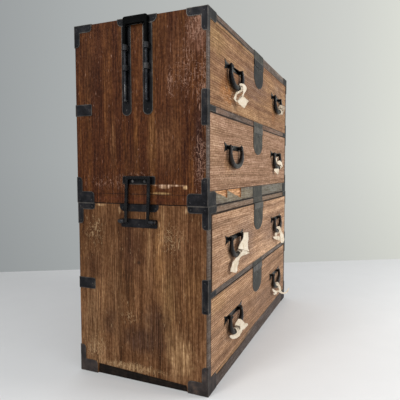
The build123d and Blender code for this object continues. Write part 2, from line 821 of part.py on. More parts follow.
loop_centres = [loop_middle + upper_setback + side * loop_half_spacing for side in (-1, 1)]
keep("carrying_loop_plates", *both_ends(loop_strips() + [wear_plate()]))
staple_tops = [chest_height - drop for drop in staple_drops]
staples = [loop_staple(depth, top - staple_length, top) for depth in loop_centres for top in staple_tops]
keep("carrying_loop_staples", *both_ends(staples))
loop = carrying_loop()
keep("left_carrying_loop", loop)
keep("right_carrying_loop", mirror(loop, about=Plane.YZ))

keep("lifting_bail_plates", *both_ends([pivot_plate(), edge_plate(loop_middle, lower_height, 0)]))
lifting_bail = side_bail()
keep("left_lifting_bail", lifting_bail)
keep("right_lifting_bail", mirror(lifting_bail, about=Plane.YZ))

strip_nail_heights = (
    chest_height - loop_strip_drop + loop_strip_width / 2,
    chest_height - edge_plate_height - nail_inset,
)
for depth in loop_centres:
    for z in strip_nail_heights:
        upper_nails.append(nail_on_left_end(depth, z))
edge_nail_drop = edge_plate_height / 2
for side in (-1, 1):
    stud_depth = loop_middle + side * stud_spacing / 2
    upper_nails.append(stud(stud_depth, wear_plate_top - stud_drop))
    edge_nail = loop_middle + side * (edge_plate_width / 2 - nail_inset)
    lower_nails.append(nail_on_left_end(edge_nail, lower_height - edge_nail_drop))
    upper_nails.append(nail_on_left_end(edge_nail + upper_setback, chest_height - edge_nail_drop))
lower_nails.append(nail_on_left_end(loop_middle, side_bail_axis_z - nail_inset))
keep("upper_nails", *both_ends(upper_nails))
keep("lower_nails", *both_ends(lower_nails))

os.makedirs("parts", exist_ok=True)
for name, node in nodes.items():
    export_step(node, f"parts/{name}.step")
print(len(nodes), "nodes")
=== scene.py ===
import json
import math
from functools import partial

import bmesh
import bpy
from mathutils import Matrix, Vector


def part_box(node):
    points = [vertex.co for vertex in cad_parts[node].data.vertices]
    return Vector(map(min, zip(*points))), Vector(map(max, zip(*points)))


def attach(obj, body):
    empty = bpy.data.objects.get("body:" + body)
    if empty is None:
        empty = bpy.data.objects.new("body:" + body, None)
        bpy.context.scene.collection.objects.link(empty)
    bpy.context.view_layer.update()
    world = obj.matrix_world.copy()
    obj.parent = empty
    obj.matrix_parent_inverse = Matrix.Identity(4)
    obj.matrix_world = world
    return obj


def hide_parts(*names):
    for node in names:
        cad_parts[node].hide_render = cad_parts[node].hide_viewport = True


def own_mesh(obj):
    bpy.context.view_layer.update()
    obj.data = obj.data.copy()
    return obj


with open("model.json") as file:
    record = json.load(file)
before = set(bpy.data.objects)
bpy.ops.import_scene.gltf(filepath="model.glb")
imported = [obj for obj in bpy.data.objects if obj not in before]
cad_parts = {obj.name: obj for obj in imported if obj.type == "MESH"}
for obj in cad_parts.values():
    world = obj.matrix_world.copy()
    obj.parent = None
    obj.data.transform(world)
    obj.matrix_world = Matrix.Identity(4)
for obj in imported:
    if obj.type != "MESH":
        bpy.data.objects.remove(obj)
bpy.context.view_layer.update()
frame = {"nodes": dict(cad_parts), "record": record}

# --- the room -----------------------------------------------------------------------------
# The chest stands on a pale painted floor, a step in front of a plain grey plastered wall.
# Two wide soft lamps light it, the stronger one from in front of the drawers.
scene = bpy.context.scene
scene.view_settings.view_transform = "Standard"


def placed(name, data):
    """An object at the origin for a mesh, a lamp or a camera."""
    made = bpy.data.objects.new(name, data)
    scene.collection.objects.link(made)
    return made


camera = scene.camera = placed("camera", bpy.data.cameras.new("camera"))
camera.data.sensor_width, camera.data.lens = 36.0, 37.9
camera.location = (-1.54, -0.6224, 0.6224)
yaw, pitch = math.radians(67.02), math.radians(3.943)
aim = Vector((math.sin(yaw) * math.cos(pitch), math.cos(yaw) * math.cos(pitch), -math.sin(pitch)))
camera.rotation_euler = aim.to_track_quat("-Z", "Y").to_euler()


def linear(code):
    """An sRGB hex code as linear red, green, blue and alpha."""
    parts = [int(code[i : i + 2], 16) / 255 for i in (1, 3, 5)]
    return (*(p / 12.92 if p <= 0.04045 else ((p + 0.055) / 1.055) ** 2.4 for p in parts), 1.0)


def add(tree, kind, inputs=(), stops=(), **settings):
    """Adds a node, with its operation after its kind. Inputs, in order or by name, are values or
    sockets, and stops are (place, hex) pairs."""
    kind, *operation = kind.split()
    made = tree.nodes.new(kind if "Node" in kind else f"ShaderNode{kind}")
    if operation:
        made.operation = operation[0]
    for key, value in settings.items():
        setattr(made, key, value)
    for key, value in inputs.items() if isinstance(inputs, dict) else enumerate(inputs):
        if isinstance(value, bpy.types.Node):
            value = next(output for output in value.outputs if output.enabled)
        if isinstance(value, bpy.types.NodeSocket):
            tree.links.new(value, made.inputs[key])
        else:
            shade = isinstance(value, str) and value.startswith("#")
            made.inputs[key].default_value = linear(value) if shade else value
    if stops:
        ramp = made.color_ramp.elements
        while len(ramp) < len(stops):
            ramp.new(0.5)
        for element, (place, code) in zip(ramp, stops):
            element.position, element.color = place, linear(code)
    return made


def new_material(name):
    """A material without nodes yet, and what adds a node to it."""
    material = bpy.data.materials.new(name)
    material.use_nodes = True
    material.node_tree.nodes.clear()
    return material, partial(add, material.node_tree)


def mesh_object(name, vertices, faces, material):
    """An object at the origin from plain lists of corners and faces."""
    mesh = bpy.data.meshes.new(name)
    mesh.from_pydata([tuple(v) for v in vertices], [], faces)
    mesh.materials.append(material)
    mesh.update()
    return placed(name, mesh)


wall_left, wall_right = Vector((0.3355, 1.512, 0.0)), Vector((1.7305, -0.770, 0.0))
wall_run = wall_right - wall_left

# Painted floor: matt, a little uneven, with painted light and shade: lighter towards the front
# right, darker towards the wall and on the end's side.
floor_paint, put = new_material("matt_floor_paint")
place = put("TexCoord").outputs["Object"]
along = put("VectorMath DOT_PRODUCT", (place, (0.62, -0.78, 0.0))).outputs["Value"]
span = put("MapRange", (along, -1.6, 1.6))
shade = put("ValToRGB", (span,), [(0.0, "#cdcecd"), (0.45, "#dededd"), (1.0, "#ebebe9")])
from_wall = put("VectorMath DOT_PRODUCT", (place, (-0.853, -0.522, 0.0))).outputs["Value"]
# painted shade, darker towards the wall
wall_side_shade = put("MapRange", (from_wall, -1.0, 0.9, 0.84, 1.16))
mottle = put("TexNoise", {"Vector": place, "Scale": 9.0, "Detail": 6.0})
uneven = put("MapRange", (mottle, 0.0, 1.0, 0.97, 1.02))
uneven = put("Math MULTIPLY", (uneven, wall_side_shade))
tone = put("VectorMath SCALE", {0: shade, "Scale": uneven})
relief = put("Bump", {"Height": mottle, "Strength": 0.06, "Distance": 0.002})
paint = put("BsdfPrincipled", {"Base Color": tone, "Roughness": 0.7, "Normal": relief})
put("OutputMaterial", {"Surface": paint})
reach = 9.0
corners = [(-reach, -reach, 0), (reach, -reach, 0), (reach, reach, 0), (-reach, reach, 0)]
floor = mesh_object("floor", corners, [(0, 1, 2, 3)], floor_paint)

# Grey plaster that glows in its own colour, as painted light: lighter to the right, with painted
# shade towards its foot. It only shows to the eye and in reflections, from its front.
plaster, put = new_material("grey_wall_plaster")
place = put("TexCoord").outputs["Object"]
local = put("VectorMath SUBTRACT", (place, tuple(wall_left)))
per_run = tuple(wall_run / wall_run.length_squared)
along = put("VectorMath DOT_PRODUCT", (local, per_run)).outputs["Value"]
shades = [(0.0, "#9b9fa0"), (0.2, "#aaaeae"), (0.7, "#c5c7c3"), (0.85, "#cfd1cc"), (1.0, "#dcded6")]
shade = put("ValToRGB", (along,), shades)
high = put("SeparateXYZ", (place,)).outputs["Z"]
# painted shade towards the wall's foot
foot = put("MapRange", (high, 0.0, 0.7, 0.9, 1.0))
tone = put("VectorMath SCALE", {0: shade, "Scale": foot})
glow = put("Emission", {"Color": tone, "Strength": 1.0})
clear = put("BsdfTransparent")
rays = put("LightPath").outputs
seen = put("Math MAXIMUM", (rays["Is Camera Ray"], rays["Is Glossy Ray"]))
seen = put("Math MAXIMUM", (seen, rays["Is Transmission Ray"]))
side = put("NewGeometry").outputs["Backfacing"]
front_seen = put("Math SUBTRACT", (seen, side), use_clamp=True)
put("OutputMaterial", {"Surface": put("MixShader", (front_seen, clear, glow))})
left_end, right_end = wall_left - 4 * wall_run, wall_right + 4 * wall_run
rise = Vector((0, 0, 9))
corners = [left_end, right_end, right_end + rise, left_end + rise]
wall = mesh_object("wall", corners, [(0, 1, 2, 3)], plaster)

world = scene.world = bpy.data.worlds.new("room_light")
world.use_nodes = True
world.node_tree.nodes.clear()
put = partial(add, world.node_tree)
rays = put("LightPath").outputs["Is Camera Ray"]
soft_light = put("Background", {"Color": "#f6f8fb", "Strength": 0.8})
beyond = put("Background", {"Color": "#c3c6c4", "Strength": 1.0})
put("OutputWorld", {"Surface": put("MixShader", (rays, soft_light, beyond))})

for name, spot, target, size, power in (
    ("drawer_side_lamp", (0.8, -3.2, 1.9), (0.1, 0.0, 0.4), (1.4, 1.1), 58.0),
    ("end_side_lamp", (-2.7, 0.7, 2.3), (-0.5, 0.0, 0.5), (0.8, 0.8), 28.0),
):
    lamp = placed(name, bpy.data.lights.new(name, "AREA"))
    lamp.data.shape, lamp.data.size, lamp.data.size_y = "RECTANGLE", *size
    lamp.data.energy = power
    lamp.location = spot
    lamp.rotation_euler = (Vector(target) - Vector(spot)).to_track_quat("-Z", "Y").to_euler()

# --- end boards ---------------------------------------------------------------------------
# Each end is one wide board of paulownia with the grain upright, stained brown and rubbed by
# years of handling. It is nailed to the boards behind it, and the irons cover its corners.
front_y = -0.2055
# half sizes of a patch that reaches through a board, and along the whole of it
through, whole = 400, 4000


def paulownia(
    name, upright, shades, patches=(), scuffs=(), slide=(0, 0, 0), ring=9.0, lines=0.26,
    contrast=1.0, wander=16.0, mottle=0.3, face=-500, rubbed="#a67f6a",
):
    """Stained paulownia: long soft streaks, dark ring lines, flecks and open pores along the grain.
    Patches and scuffs lie on an end's face or on the front: middle, half sizes and strength."""
    material, put = new_material(name)
    spot = put("TexCoord").outputs["Object"]
    # millimetres, with depth counted back from the front face
    back = (0, -front_y * 1000, 0)
    local = put("Mapping", {"Vector": spot, "Location": back, "Scale": (1000, 1000, 1000)})
    moved = put("VectorMath ADD", (local, slide))

    def shifted(scale, reach, detail):
        """A noise vector of up to reach millimetres each way."""
        drift = put("TexNoise", {"Vector": moved, "Scale": 1 / scale, "Detail": detail})
        centred = put("VectorMath SUBTRACT", (drift.outputs["Color"], (0.5, 0.5, 0.5)))
        return put("VectorMath SCALE", {0: centred, "Scale": reach})

    bent = put("VectorMath ADD", (moved, shifted(180, wander, 2.0)))
    ragged = shifted(20, 2.0, 4.0)

    def grain(across, along_grain, detail=3.0):
        """Noise drawn out along the grain, by its sizes in millimetres."""
        a, b = 1 / across, 1 / along_grain
        drawn = put("VectorMath MULTIPLY", (bent, (a, a, b) if upright else (b, a, a)))
        return put("TexNoise", {"Vector": drawn, "Scale": 1.0, "Detail": detail})

    def varied(value, low, high, amount):
        """Lightness that swings by amount, more or less with the wood's contrast."""
        return put("MapRange", (value, low, high, 1 - amount * contrast, 1 + amount * contrast))

    def near(across, high, half_across, half_high, strength):
        """How far inside a soft-edged patch a point is, from 0 to strength."""
        middle = (face, across, high) if upright else (across, 0, high)
        half = (through, half_across, half_high) if upright else (half_across, whole, half_high)
        least = min(h for h in half if h < through)
        width = min(30.0, 0.6 * least) if least > 9 else 0.12 * least
        torn = put("VectorMath SCALE", {0: ragged, "Scale": width})
        away = put("VectorMath SUBTRACT", (put("VectorMath ADD", (local, torn)), middle))
        away = put("VectorMath LENGTH", (put("VectorMath DIVIDE", (away, half)),)).outputs["Value"]
        return put("MapRange", (away, 1.0, 0.2, 0.0, strength), interpolation_type="SMOOTHSTEP")

    stops = list(zip((0.28, 0.43, 0.57, 0.72), shades))
    colour = put("ValToRGB", (grain(22.0, 560.0, 5.0),), stops)
    streak = put("MapRange", (grain(6.0, 300.0), 0.32, 0.68, 0.0, 1.0))
    for *patch, code, streaky in patches:
        drawn = put("MapRange", (streak, 0.0, 1.0, 1 - streaky, 1 + streaky))
        mask = put("Math MULTIPLY", (near(*patch), drawn))
        colour = put("Mix", {0: mask, 6: colour, 7: code}, data_type="RGBA").outputs[2]

    # streaks, flecks, ring lines and pores make the stain lighter or darker
    pick = put("SeparateXYZ", (bent,)).outputs["Y" if upright else "Z"]
    turn = put("Math MULTIPLY", (pick, 2 * math.pi / ring))
    turn = put("Math ADD", (turn, put("Math MULTIPLY", (grain(34.0, 420.0), 8.0))))
    dark = put("MapRange", (put("Math SINE", (turn,)), 0.55, 1.0, 0.0, 1.0))
    dark = put("Math MULTIPLY", (dark, put("Math MULTIPLY", (grain(40.0, 60.0, 2.0), 2 * lines))))
    shade = varied(streak, 0.0, 1.0, 0.16)
    for layer in (
        varied(grain(2.4, 90.0, 2.0), 0.3, 0.7, 0.52),
        varied(grain(6.0, 9.0), 0.34, 0.66, mottle),
        varied(grain(34.0, 60.0), 0.34, 0.66, 0.14),
        put("Math SUBTRACT", (1.0, dark)),
        put("MapRange", (grain(1.8, 20.0, 1.0), 0.6, 0.7, 1.0, 0.72)),
    ):
        shade = put("Math MULTIPLY", (shade, layer))
    tint = put("CombineXYZ", [put("Math POWER", (shade, power)) for power in (1.0, 1.2, 1.42)])
    colour = put("VectorMath MULTIPLY", (colour, tint))

    # scuffs: pale specks and short crooked scratches, thick inside the scuffed patches
    if scuffs:
        rough = {"Vector": moved, "Scale": 1 / 5.5, "Detail": 3.0, "Roughness": 0.7}
        specks = put("TexNoise", rough)
        crook = put("TexNoise", {"Vector": moved, "Scale": 1 / 15.0, "Detail": 2.0})
        crook = put("Math ABSOLUTE", (put("Math SUBTRACT", (crook, 0.5)),))
        scratch = put("MapRange", (crook, 0.0, 0.03, 0.72, 0.4))
        fleck = put("Math MAXIMUM", (scratch, grain(3.0, 20.0, 2.0)))
        fleck = put("Math MAXIMUM", (specks, fleck))
        scuffed = 0.0
        for scuff in scuffs:
            scuffed = put("Math MAXIMUM", (near(*scuff), scuffed))
        least = put("MapRange", (scuffed, 0.0, 1.0, 0.69, 0.53))
        rub = put("MapRange", (put("Math SUBTRACT", (fleck, least)), 0.0, 0.07, 0.0, 0.68))
        colour = put("Mix", {0: rub, 6: colour, 7: rubbed}, data_type="RGBA").outputs[2]

    relief = put("Bump", {"Height": shade, "Strength": 0.3, "Distance": 0.0006})
    satin = put("MapRange", (shade, 0.6, 1.3, 0.72, 0.56))
    look = {"Base Color": colour, "Roughness": satin, "Normal": relief, "Specular IOR Level": 0.12}
    put("OutputMaterial", {"Surface": put("BsdfPrincipled", look)})
    return material


def dress(material, *names):
    """Gives CAD nodes one material."""
    for name in names:
        piece = frame["nodes"][name]
        piece.data.materials.clear()
        piece.data.materials.append(material)


def stand_in(piece, node):
    """A piece takes the place of a CAD node, and its body."""
    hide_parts(node)
    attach(piece, body_of[node])
    return piece


def worn_copy(node, wear, *materials, rim=0.0):
    """In a CAD node's place, a merged copy with its sharp edges rounded, by wear metres, and its
    faces' rims in the last material."""
    mesh = frame["nodes"][node].data.copy()
    mesh.name = f"{node}_worn"
    mesh.materials.clear()
    for material in materials:
        mesh.materials.append(material)
    work = bmesh.new()
    work.from_mesh(mesh)
    for face in work.faces:
        face.smooth, face.material_index = False, 0
    bmesh.ops.remove_doubles(work, verts=work.verts, dist=2e-6)
    flat = math.radians(1.5)
    bmesh.ops.dissolve_limit(work, angle_limit=flat, verts=work.verts, edges=work.edges)
    # corners where two solids touch stay sharp
    shared = {v for v in work.verts if not v.is_manifold}
    sharp = [
        edge for edge in work.edges
        if not shared & set(edge.verts) and edge.calc_face_angle(0.0) > math.radians(40)
    ]
    bmesh.ops.bevel(
        work, geom=sharp, offset=wear, segments=2, profile=0.6, affect="EDGES", clamp_overlap=True,
        material=len(materials) - 1,
    )
    if rim:
        wide = [f for f in work.faces if f.material_index == 0 and f.calc_area() > 150 * rim**2]
        ring = bmesh.ops.inset_individual(work, faces=wide, thickness=rim, use_even_offset=True)
        for face in ring["faces"]:
            face.material_index = len(materials) - 1
    work.to_mesh(mesh)
    work.free()
    return stand_in(placed(mesh.name, mesh), node)


def repaint(piece, material, picks):
    """Gives a material to the faces that a test of their centre and material number picks."""
    if material.name not in piece.data.materials:
        piece.data.materials.append(material)
    number = piece.data.materials.find(material.name)
    for face in piece.data.polygons:
        if picks(face.center, face.material_index):
            face.material_index = number


body_of = {n: body for body, names in frame["record"]["behaviour"]["bodies"].items() for n in names}
upper_stain = paulownia(
    "stained_paulownia_upper_end", True, ("#3c1d0a", "#48240d", "#542e12", "#633c1a"),
    patches=[
        # middle (depth, height), half sizes, strength, colour, how much it follows the streaks
        (392, 930, 40, 150, 0.4, "#4c2a12", 0.5), (375, 880, 50, 190, 0.4, "#351a0c", 0.4),
        (318, 860, 16, 190, 0.45, "#6a4020", 0.5), (212, 920, 24, 150, 0.4, "#5f3416", 0.4),
        (100, 900, 60, 160, 0.45, "#5f3a22", 0.6), (120, 700, 60, 120, 0.4, "#6b472b", 0.5),
        (24, 690, 30, 170, 0.75, "#321a14", 0.3), (30, 985, 46, 70, 0.5, "#7c5543", 0.5),
        (300, 700, 14, 110, 0.5, "#6f4a2c", 0.5), (172, 700, 20, 130, 0.4, "#75502f", 0.5),
        (235, 650, 40, 90, 0.35, "#3b2010", 0.4), (131, 577, 24, 6, 0.85, "#a88466", 0.8),
        (118, 582, 66, 4, 0.75, "#b08d70", 0.9), (143, 559.5, 40, 5, 0.9, "#9a7a50", 0.4),
        (67, 577, 10, 8, 0.85, "#b08a60", 0.8), (214, 527, whole, 2.6, 1.0, "#0f0705", 0.0),
        (210, 541, 240, 12, 0.5, "#5c2f1a", 0.3), (214, 556, 260, 1.8, 0.9, "#241008", 0.0),
    ],
    scuffs=[
        (30, 1000, 50, 70, 0.95), (6, 860, 36, 170, 0.85), (112, 862, 14, 60, 0.9),
        (60, 900, 60, 120, 0.55), (22, 650, 36, 130, 0.8), (300, 590, 130, 30, 0.5),
        (214, 612, 60, 12, 0.6),
    ],
)
lower_stain = paulownia(
    "stained_paulownia_lower_end", True, ("#432813", "#5f3d22", "#755033", "#8b6745"),
    patches=[
        (378, 440, 90, 170, 0.75, "#52331a", 0.4), (372, 330, 50, 70, 0.6, "#4d2f1b", 0.4),
        (385, 150, 46, 190, 0.7, "#7a5a3d", 0.4), (300, 250, 40, 240, 0.5, "#6c4d32", 0.5),
        (240, 400, 66, 130, 0.55, "#46291a", 0.4), (149, 370, 24, 160, 0.8, "#8f6640", 0.5),
        (60, 430, 60, 90, 0.6, "#704a2e", 0.4), (120, 230, 40, 150, 0.6, "#86633f", 0.5),
        (50, 280, 50, 140, 0.6, "#75502f", 0.5), (86, 100, 56, 90, 0.9, "#a58059", 0.4),
        (200, 128, 110, 60, 0.7, "#402a20", 0.3), (216, 357, 9, 9, 0.85, "#2c1a10", 0.0),
        (170, 524, 30, 3, 0.8, "#b5916a", 0.3), (157, 516, 6, 10, 0.75, "#b5916a", 0.2),
        (65, 512, 5, 12, 0.7, "#b5916a", 0.2), (345, 522, 24, 5, 0.6, "#b5916a", 0.3),
        (280, 508, 6, 14, 0.7, "#b5916a", 0.2), (148, 470, 4, 14, 0.7, "#b5916a", 0.2),
        (320, 170, 40, 60, 0.5, "#3f2a1e", 0.4), (160, 190, 60, 70, 0.6, "#452e22", 0.4),
        (250, 40, 170, 16, 0.6, "#95734f", 0.4),
    ],
    scuffs=[
        (250, 40, 190, 22, 0.8), (370, 80, 60, 60, 0.7), (110, 430, 60, 60, 0.7),
        (249, 194, 46, 30, 0.6), (370, 440, 50, 60, 0.6),
    ],
    slide=(0, 311, 170), ring=6.0, lines=0.4, mottle=0.22, rubbed="#b89a74",
)
plain_stain = paulownia(
    "stained_paulownia_right_ends", True, ("#38200f", "#4c2f1b", "#5f4029", "#735235"),
    patches=[
        (330, 830, 60, 190, 0.5, "#75502f", 0.5), (110, 760, 60, 160, 0.5, "#3a2012", 0.4),
        (300, 240, 70, 200, 0.6, "#82603e", 0.4), (120, 140, 80, 90, 0.6, "#452e22", 0.4),
    ],
    scuffs=[
        (30, 960, 60, 100, 0.9), (380, 560, 60, 80, 0.8), (200, 40, 200, 24, 0.8),
    ],
    slide=(0, 907, 412), face=500,
)
for board, stain in (
    ("upper_left_end", upper_stain), ("lower_left_end", lower_stain),
    ("upper_right_end", plain_stain), ("lower_right_end", plain_stain),
):
    worn_copy(board, 0.0009, stain)

# --- front frames -------------------------------------------------------------------------
# Rails between the drawers and strips over the end boards' front edges, of hardwood stained a
# dark grey-brown. They are let into the ends and glued. Slivers have split off under drawer 2.
rail_stain = paulownia(
    "grey_brown_stained_rail", False, ("#4a413b", "#5b5049", "#6b5f56", "#7d6e62"),
    patches=[
        # on the left of the top and bottom rails, bands in the drawers' colour with painted gap
        # shadows along them: the dark lines at heights 1033.5 and 34
        (-300, 1043, 240, 7, 0.6, "#6a5244", 0.2), (-290, 1024, 520, 11, 1.0, "#96714c", 0.2),
        (-290, 1033.5, 560, 4.2, 1.0, "#22150e", 0.0), (-290, 1050, 560, 3.5, 0.8, "#2a211c", 0.0),
        (150, 1030, 190, 30, 1.0, "#5f5148", 0.2), (0, 548, whole, 34, 1.0, "#6b655a", 0.2),
        (-250, 546, 330, 30, 0.5, "#8a7b62", 0.3), (0, 514, whole, 15, 1.0, "#7b6553", 0.2),
        (0, 526, whole, 4.5, 1.0, "#1c1411", 0.0), (120, 791, 500, 14, 0.9, "#735847", 0.2),
        (-420, 791, 160, 14, 0.8, "#7c6252", 0.2), (0, 20, whole, 46, 1.0, "#534843", 0.2),
        (-330, 43, 320, 11, 1.0, "#94704f", 0.3), (-320, 34, 330, 3.6, 0.9, "#22170f", 0.2),
        (-497, 860, 12, 400, 0.8, "#5d5048", 0.2), (-497, 300, 16, 400, 0.8, "#594c42", 0.2),
    ],
    slide=(0, 0, 733), ring=7.0, lines=0.12, contrast=0.6,
)
split_wood = paulownia(
    "freshly_split_rail_wood", False, ("#8f5d38", "#b07c50", "#c4946a", "#d4aa82"),
    slide=(140, 0, 61), ring=5.0, contrast=0.9,
)


def prism(first, last):
    """A closed solid, as a bmesh, between two like rings of points in millimetres."""
    work = bmesh.new()
    first = [work.verts.new(Vector(point) / 1000) for point in first]
    last = [work.verts.new(Vector(point) / 1000) for point in last]
    work.faces.new(first)
    work.faces.new(last[::-1])
    for i in range(len(first)):
        work.faces.new((first[i], first[i - 1], last[i - 1], last[i]))
    return work


def built(name, work, *materials):
    """An object at the origin from a bmesh, which is freed."""
    mesh = bpy.data.meshes.new(name)
    work.to_mesh(mesh)
    work.free()
    for material in materials:
        mesh.materials.append(material)
    return placed(name, mesh)


def applied(piece):
    """The object, with what its modifiers make as its own plain mesh."""
    graph = bpy.context.evaluated_depsgraph_get()
    result = bpy.data.meshes.new_from_object(piece.evaluated_get(graph), depsgraph=graph)
    piece.modifiers.clear()
    piece.data = result
    return piece


def split_off(piece, outline, face_depth, deepest, material):
    """Takes a sliver off a board's front: outline (x, height) in mm, deepest at its first point."""
    away = [math.dist(outline[0], point) for point in outline]
    y = front_y * 1000 + face_depth
    front_ring = [(x, y - 6, z) for x, z in outline]
    back_ring = [
        (x, y + 0.7 + deepest * (1 - far / max(away)), z) for (x, z), far in zip(outline, away)
    ]
    shape = prism(front_ring, back_ring)
    bmesh.ops.triangulate(shape, faces=shape.faces)
    bmesh.ops.recalc_face_normals(shape, faces=shape.faces)
    sliver = built("sliver", shape, material)
    cut = piece.modifiers.new("sliver", "BOOLEAN")
    cut.object, cut.operation = sliver, "DIFFERENCE"
    cut.solver, cut.material_mode = "EXACT", "TRANSFER"
    applied(piece)
    bpy.data.objects.remove(sliver)


upper_frame = worn_copy("upper_front_frame", 0.0011, rail_stain)
for outline in (
    [(-341, 569), (-451, 569), (-449, 565), (-432, 561), (-420, 557.5), (-398, 555), (-383, 550),
     (-362, 547), (-343, 541)],
    [(-204, 569), (-339, 569), (-337, 563), (-318, 560), (-300, 554), (-283, 551), (-262, 546),
     (-240, 543), (-226, 538), (-205, 535)],
):
    split_off(upper_frame, outline, 2.0, 4.0, split_wood)
worn_copy("lower_front_frame", 0.0011, rail_stain)

# --- drawer fronts ------------------------------------------------------------------------
# Solid paulownia boards with the grain along the chest, brushed so that the harder rings stand
# up as fine dark lines, stained light brown and rubbed orange round the handles.
front_boards = {
    1: (("#6c4b31", "#845f43", "#9a7552", "#b18862"), [
        (-440, 985, 110, 60, 0.6, "#94744a", 0.3), (-345, 855, 90, 60, 0.75, "#96602f", 0.4),
        # the dark patch at -352 beside the left bail is a painted shadow of the bail
        (-352, 895, 22, 60, 0.8, "#5a3416", 0.2), (-250, 940, 40, 30, 0.5, "#8d6040", 0.4),
        (-40, 930, 230, 90, 0.65, "#73584a", 0.5), (330, 960, 140, 60, 0.5, "#7b6150", 0.4),
        (250, 850, 60, 50, 0.6, "#855630", 0.4), (-100, 815, 300, 16, 0.5, "#a9855f", 0.4),
    ]),
    2: (("#795842", "#8f6d53", "#a17d64", "#b38f74"), [
        # the dark patch at -352 beside the left bail is a painted shadow of the bail
        (-330, 640, 60, 40, 0.55, "#a87a52", 0.4), (-352, 655, 16, 45, 0.6, "#5f4028", 0.2),
        (120, 680, 260, 100, 0.4, "#8f6e56", 0.5), (-450, 700, 60, 120, 0.4, "#b08d6e", 0.4),
    ]),
    3: (("#806047", "#a17d61", "#b89272", "#cca584"), [
        (-330, 420, 90, 50, 0.45, "#b99577", 0.5), (230, 380, 260, 90, 0.6, "#846858", 0.4),
        (-440, 330, 120, 50, 0.4, "#a27d5f", 0.4), (-150, 385, 150, 100, 0.7, "#7c6355", 0.3),
    ]),
    4: (("#785840", "#947156", "#a98364", "#ba9370"), [
        (-420, 245, 120, 40, 0.7, "#b48e66", 0.4), (-250, 150, 120, 60, 0.4, "#8c6a58", 0.5),
        (150, 110, 330, 60, 0.5, "#765a4a", 0.5),
    ]),
}
for number, (shades, patches) in front_boards.items():
    # painted shade along each board's edges, where the gaps round the drawer fall dark
    board = f"drawer_{number}_front"
    (west, _, low), (east, _, high) = [corner * 1000 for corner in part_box(board)]
    top_gap_shade, top_dark = (6, 1.0) if number > 1 else (2, 0.4)
    patches += [
        (0, high, whole, top_gap_shade, top_dark, "#241710", 0.0),
        (0, low, whole, 4, 0.8 if number < 4 else 0.3, "#2c1c14", 0.0),
        (west, 0, 8 if number == 3 else 5, whole, 0.9, "#2c1c14", 0.0),
        (east, 0, 6, whole, 0.8, "#2c1c14", 0.0),
    ]
    scuffs = [
        (-300, 1070 - 230 * number, 200, 60, 0.5), (180, 1030 - 230 * number, 260, 40, 0.3),
    ]
    front_stain = paulownia(
        f"stained_paulownia_drawer_front_{number}", False, shades, patches, scuffs,
        slide=(211 + 340 * number, 0, 57 * number), ring=6.5, lines=0.65 if number == 4 else 0.4,
        contrast=0.62, wander=7.0, mottle=0.36, rubbed="#c8a888",
    )
    worn_copy(board, 0.0012, front_stain)

# --- boards inside ------------------------------------------------------------------------
# Bare paulownia, planed and left unstained: tops, backs, bottoms, dust boards and drawer boxes.
bare_wood = paulownia(
    "bare_paulownia", False, ("#a07c54", "#b8946a", "#c6a67c", "#d4b890"),
    slide=(90, 40, 220), ring=14.0, lines=0.14, contrast=0.5,
)
dark_top = paulownia(
    "stained_paulownia_top_and_back", False, ("#38200f", "#4c2f1b", "#5f4029", "#735235"),
    slide=(390, 140, 120), ring=12.0,
)
dress(bare_wood, *[f"drawer_{n}_box" for n in (1, 2, 3, 4)])
dress(bare_wood, "upper_dust_board", "lower_dust_board", "lower_top_board")
# the base rails in the ends' cut-outs are painted near black, as painted shade under the chest
shade_black_wood = paulownia(
    "grimed_base_rail", False, ("#0e0a08", "#17110d", "#201812", "#2c2119"),
    slide=(30, 70, 20), contrast=0.5,
)
base = worn_copy("lower_bottom_board", 0.0005, bare_wood)
rail_top = 0.0329
repaint(base, shade_black_wood, lambda at, _: at.z < rail_top)
dress(dark_top, "upper_top_board", "upper_back_panel", "lower_back_panel")
# the upper section's bottom board shows its ends under the end boards
board = worn_copy("upper_bottom_board", 0.0009, dark_top)
shown_x = 0.495
repaint(board, upper_stain, lambda at, _: at.x < -shown_x)
repaint(board, plain_stain, lambda at, _: at.x > shown_x)

# --- irons on the cases -------------------------------------------------------------------
# Sheet iron, cut, bent over the edges and nailed, blackened with lacquer. It has dulled and
# rusted brown at the foot, gone grey with dust on the front, and its rims are painted lighter,
# as iron rubbed bare and as painted highlight on the edges.


def blackened_iron(
    name, shades, rough=(0.42, 0.68), metal=0.55, pits=260.0, hammered=0.35, shine=0.4
):
    """Lacquered iron: pitted, with soft cloudy blooms, dull where it is pitted."""
    material, put = new_material(name)
    place = put("TexCoord").outputs["Object"]
    pitting = put("TexNoise", {"Vector": place, "Scale": pits, "Detail": 5.0, "Roughness": 0.65})
    bloom = put("TexNoise", {"Vector": place, "Scale": 34.0, "Detail": 5.0})
    mixed = put("Math MULTIPLY_ADD", (bloom, 0.65, put("Math MULTIPLY", (pitting, 0.35))))
    shade = put("ValToRGB", (mixed,), list(zip((0.36, 0.47, 0.56, 0.68), shades)))
    dull = put("MapRange", (pitting, 0.3, 0.7, *rough))
    relief = put("Bump", {"Height": pitting, "Strength": hammered, "Distance": 0.0008})
    look = {
        "Base Color": shade, "Metallic": metal, "Roughness": dull, "Normal": relief,
        "Specular IOR Level": shine,
    }
    put("OutputMaterial", {"Surface": put("BsdfPrincipled", look)})
    return material


end_iron = blackened_iron(
    "lacquered_sheet_iron", ("#0a0a0c", "#141417", "#222124", "#3c3631"), metal=0.4, shine=0.2
)
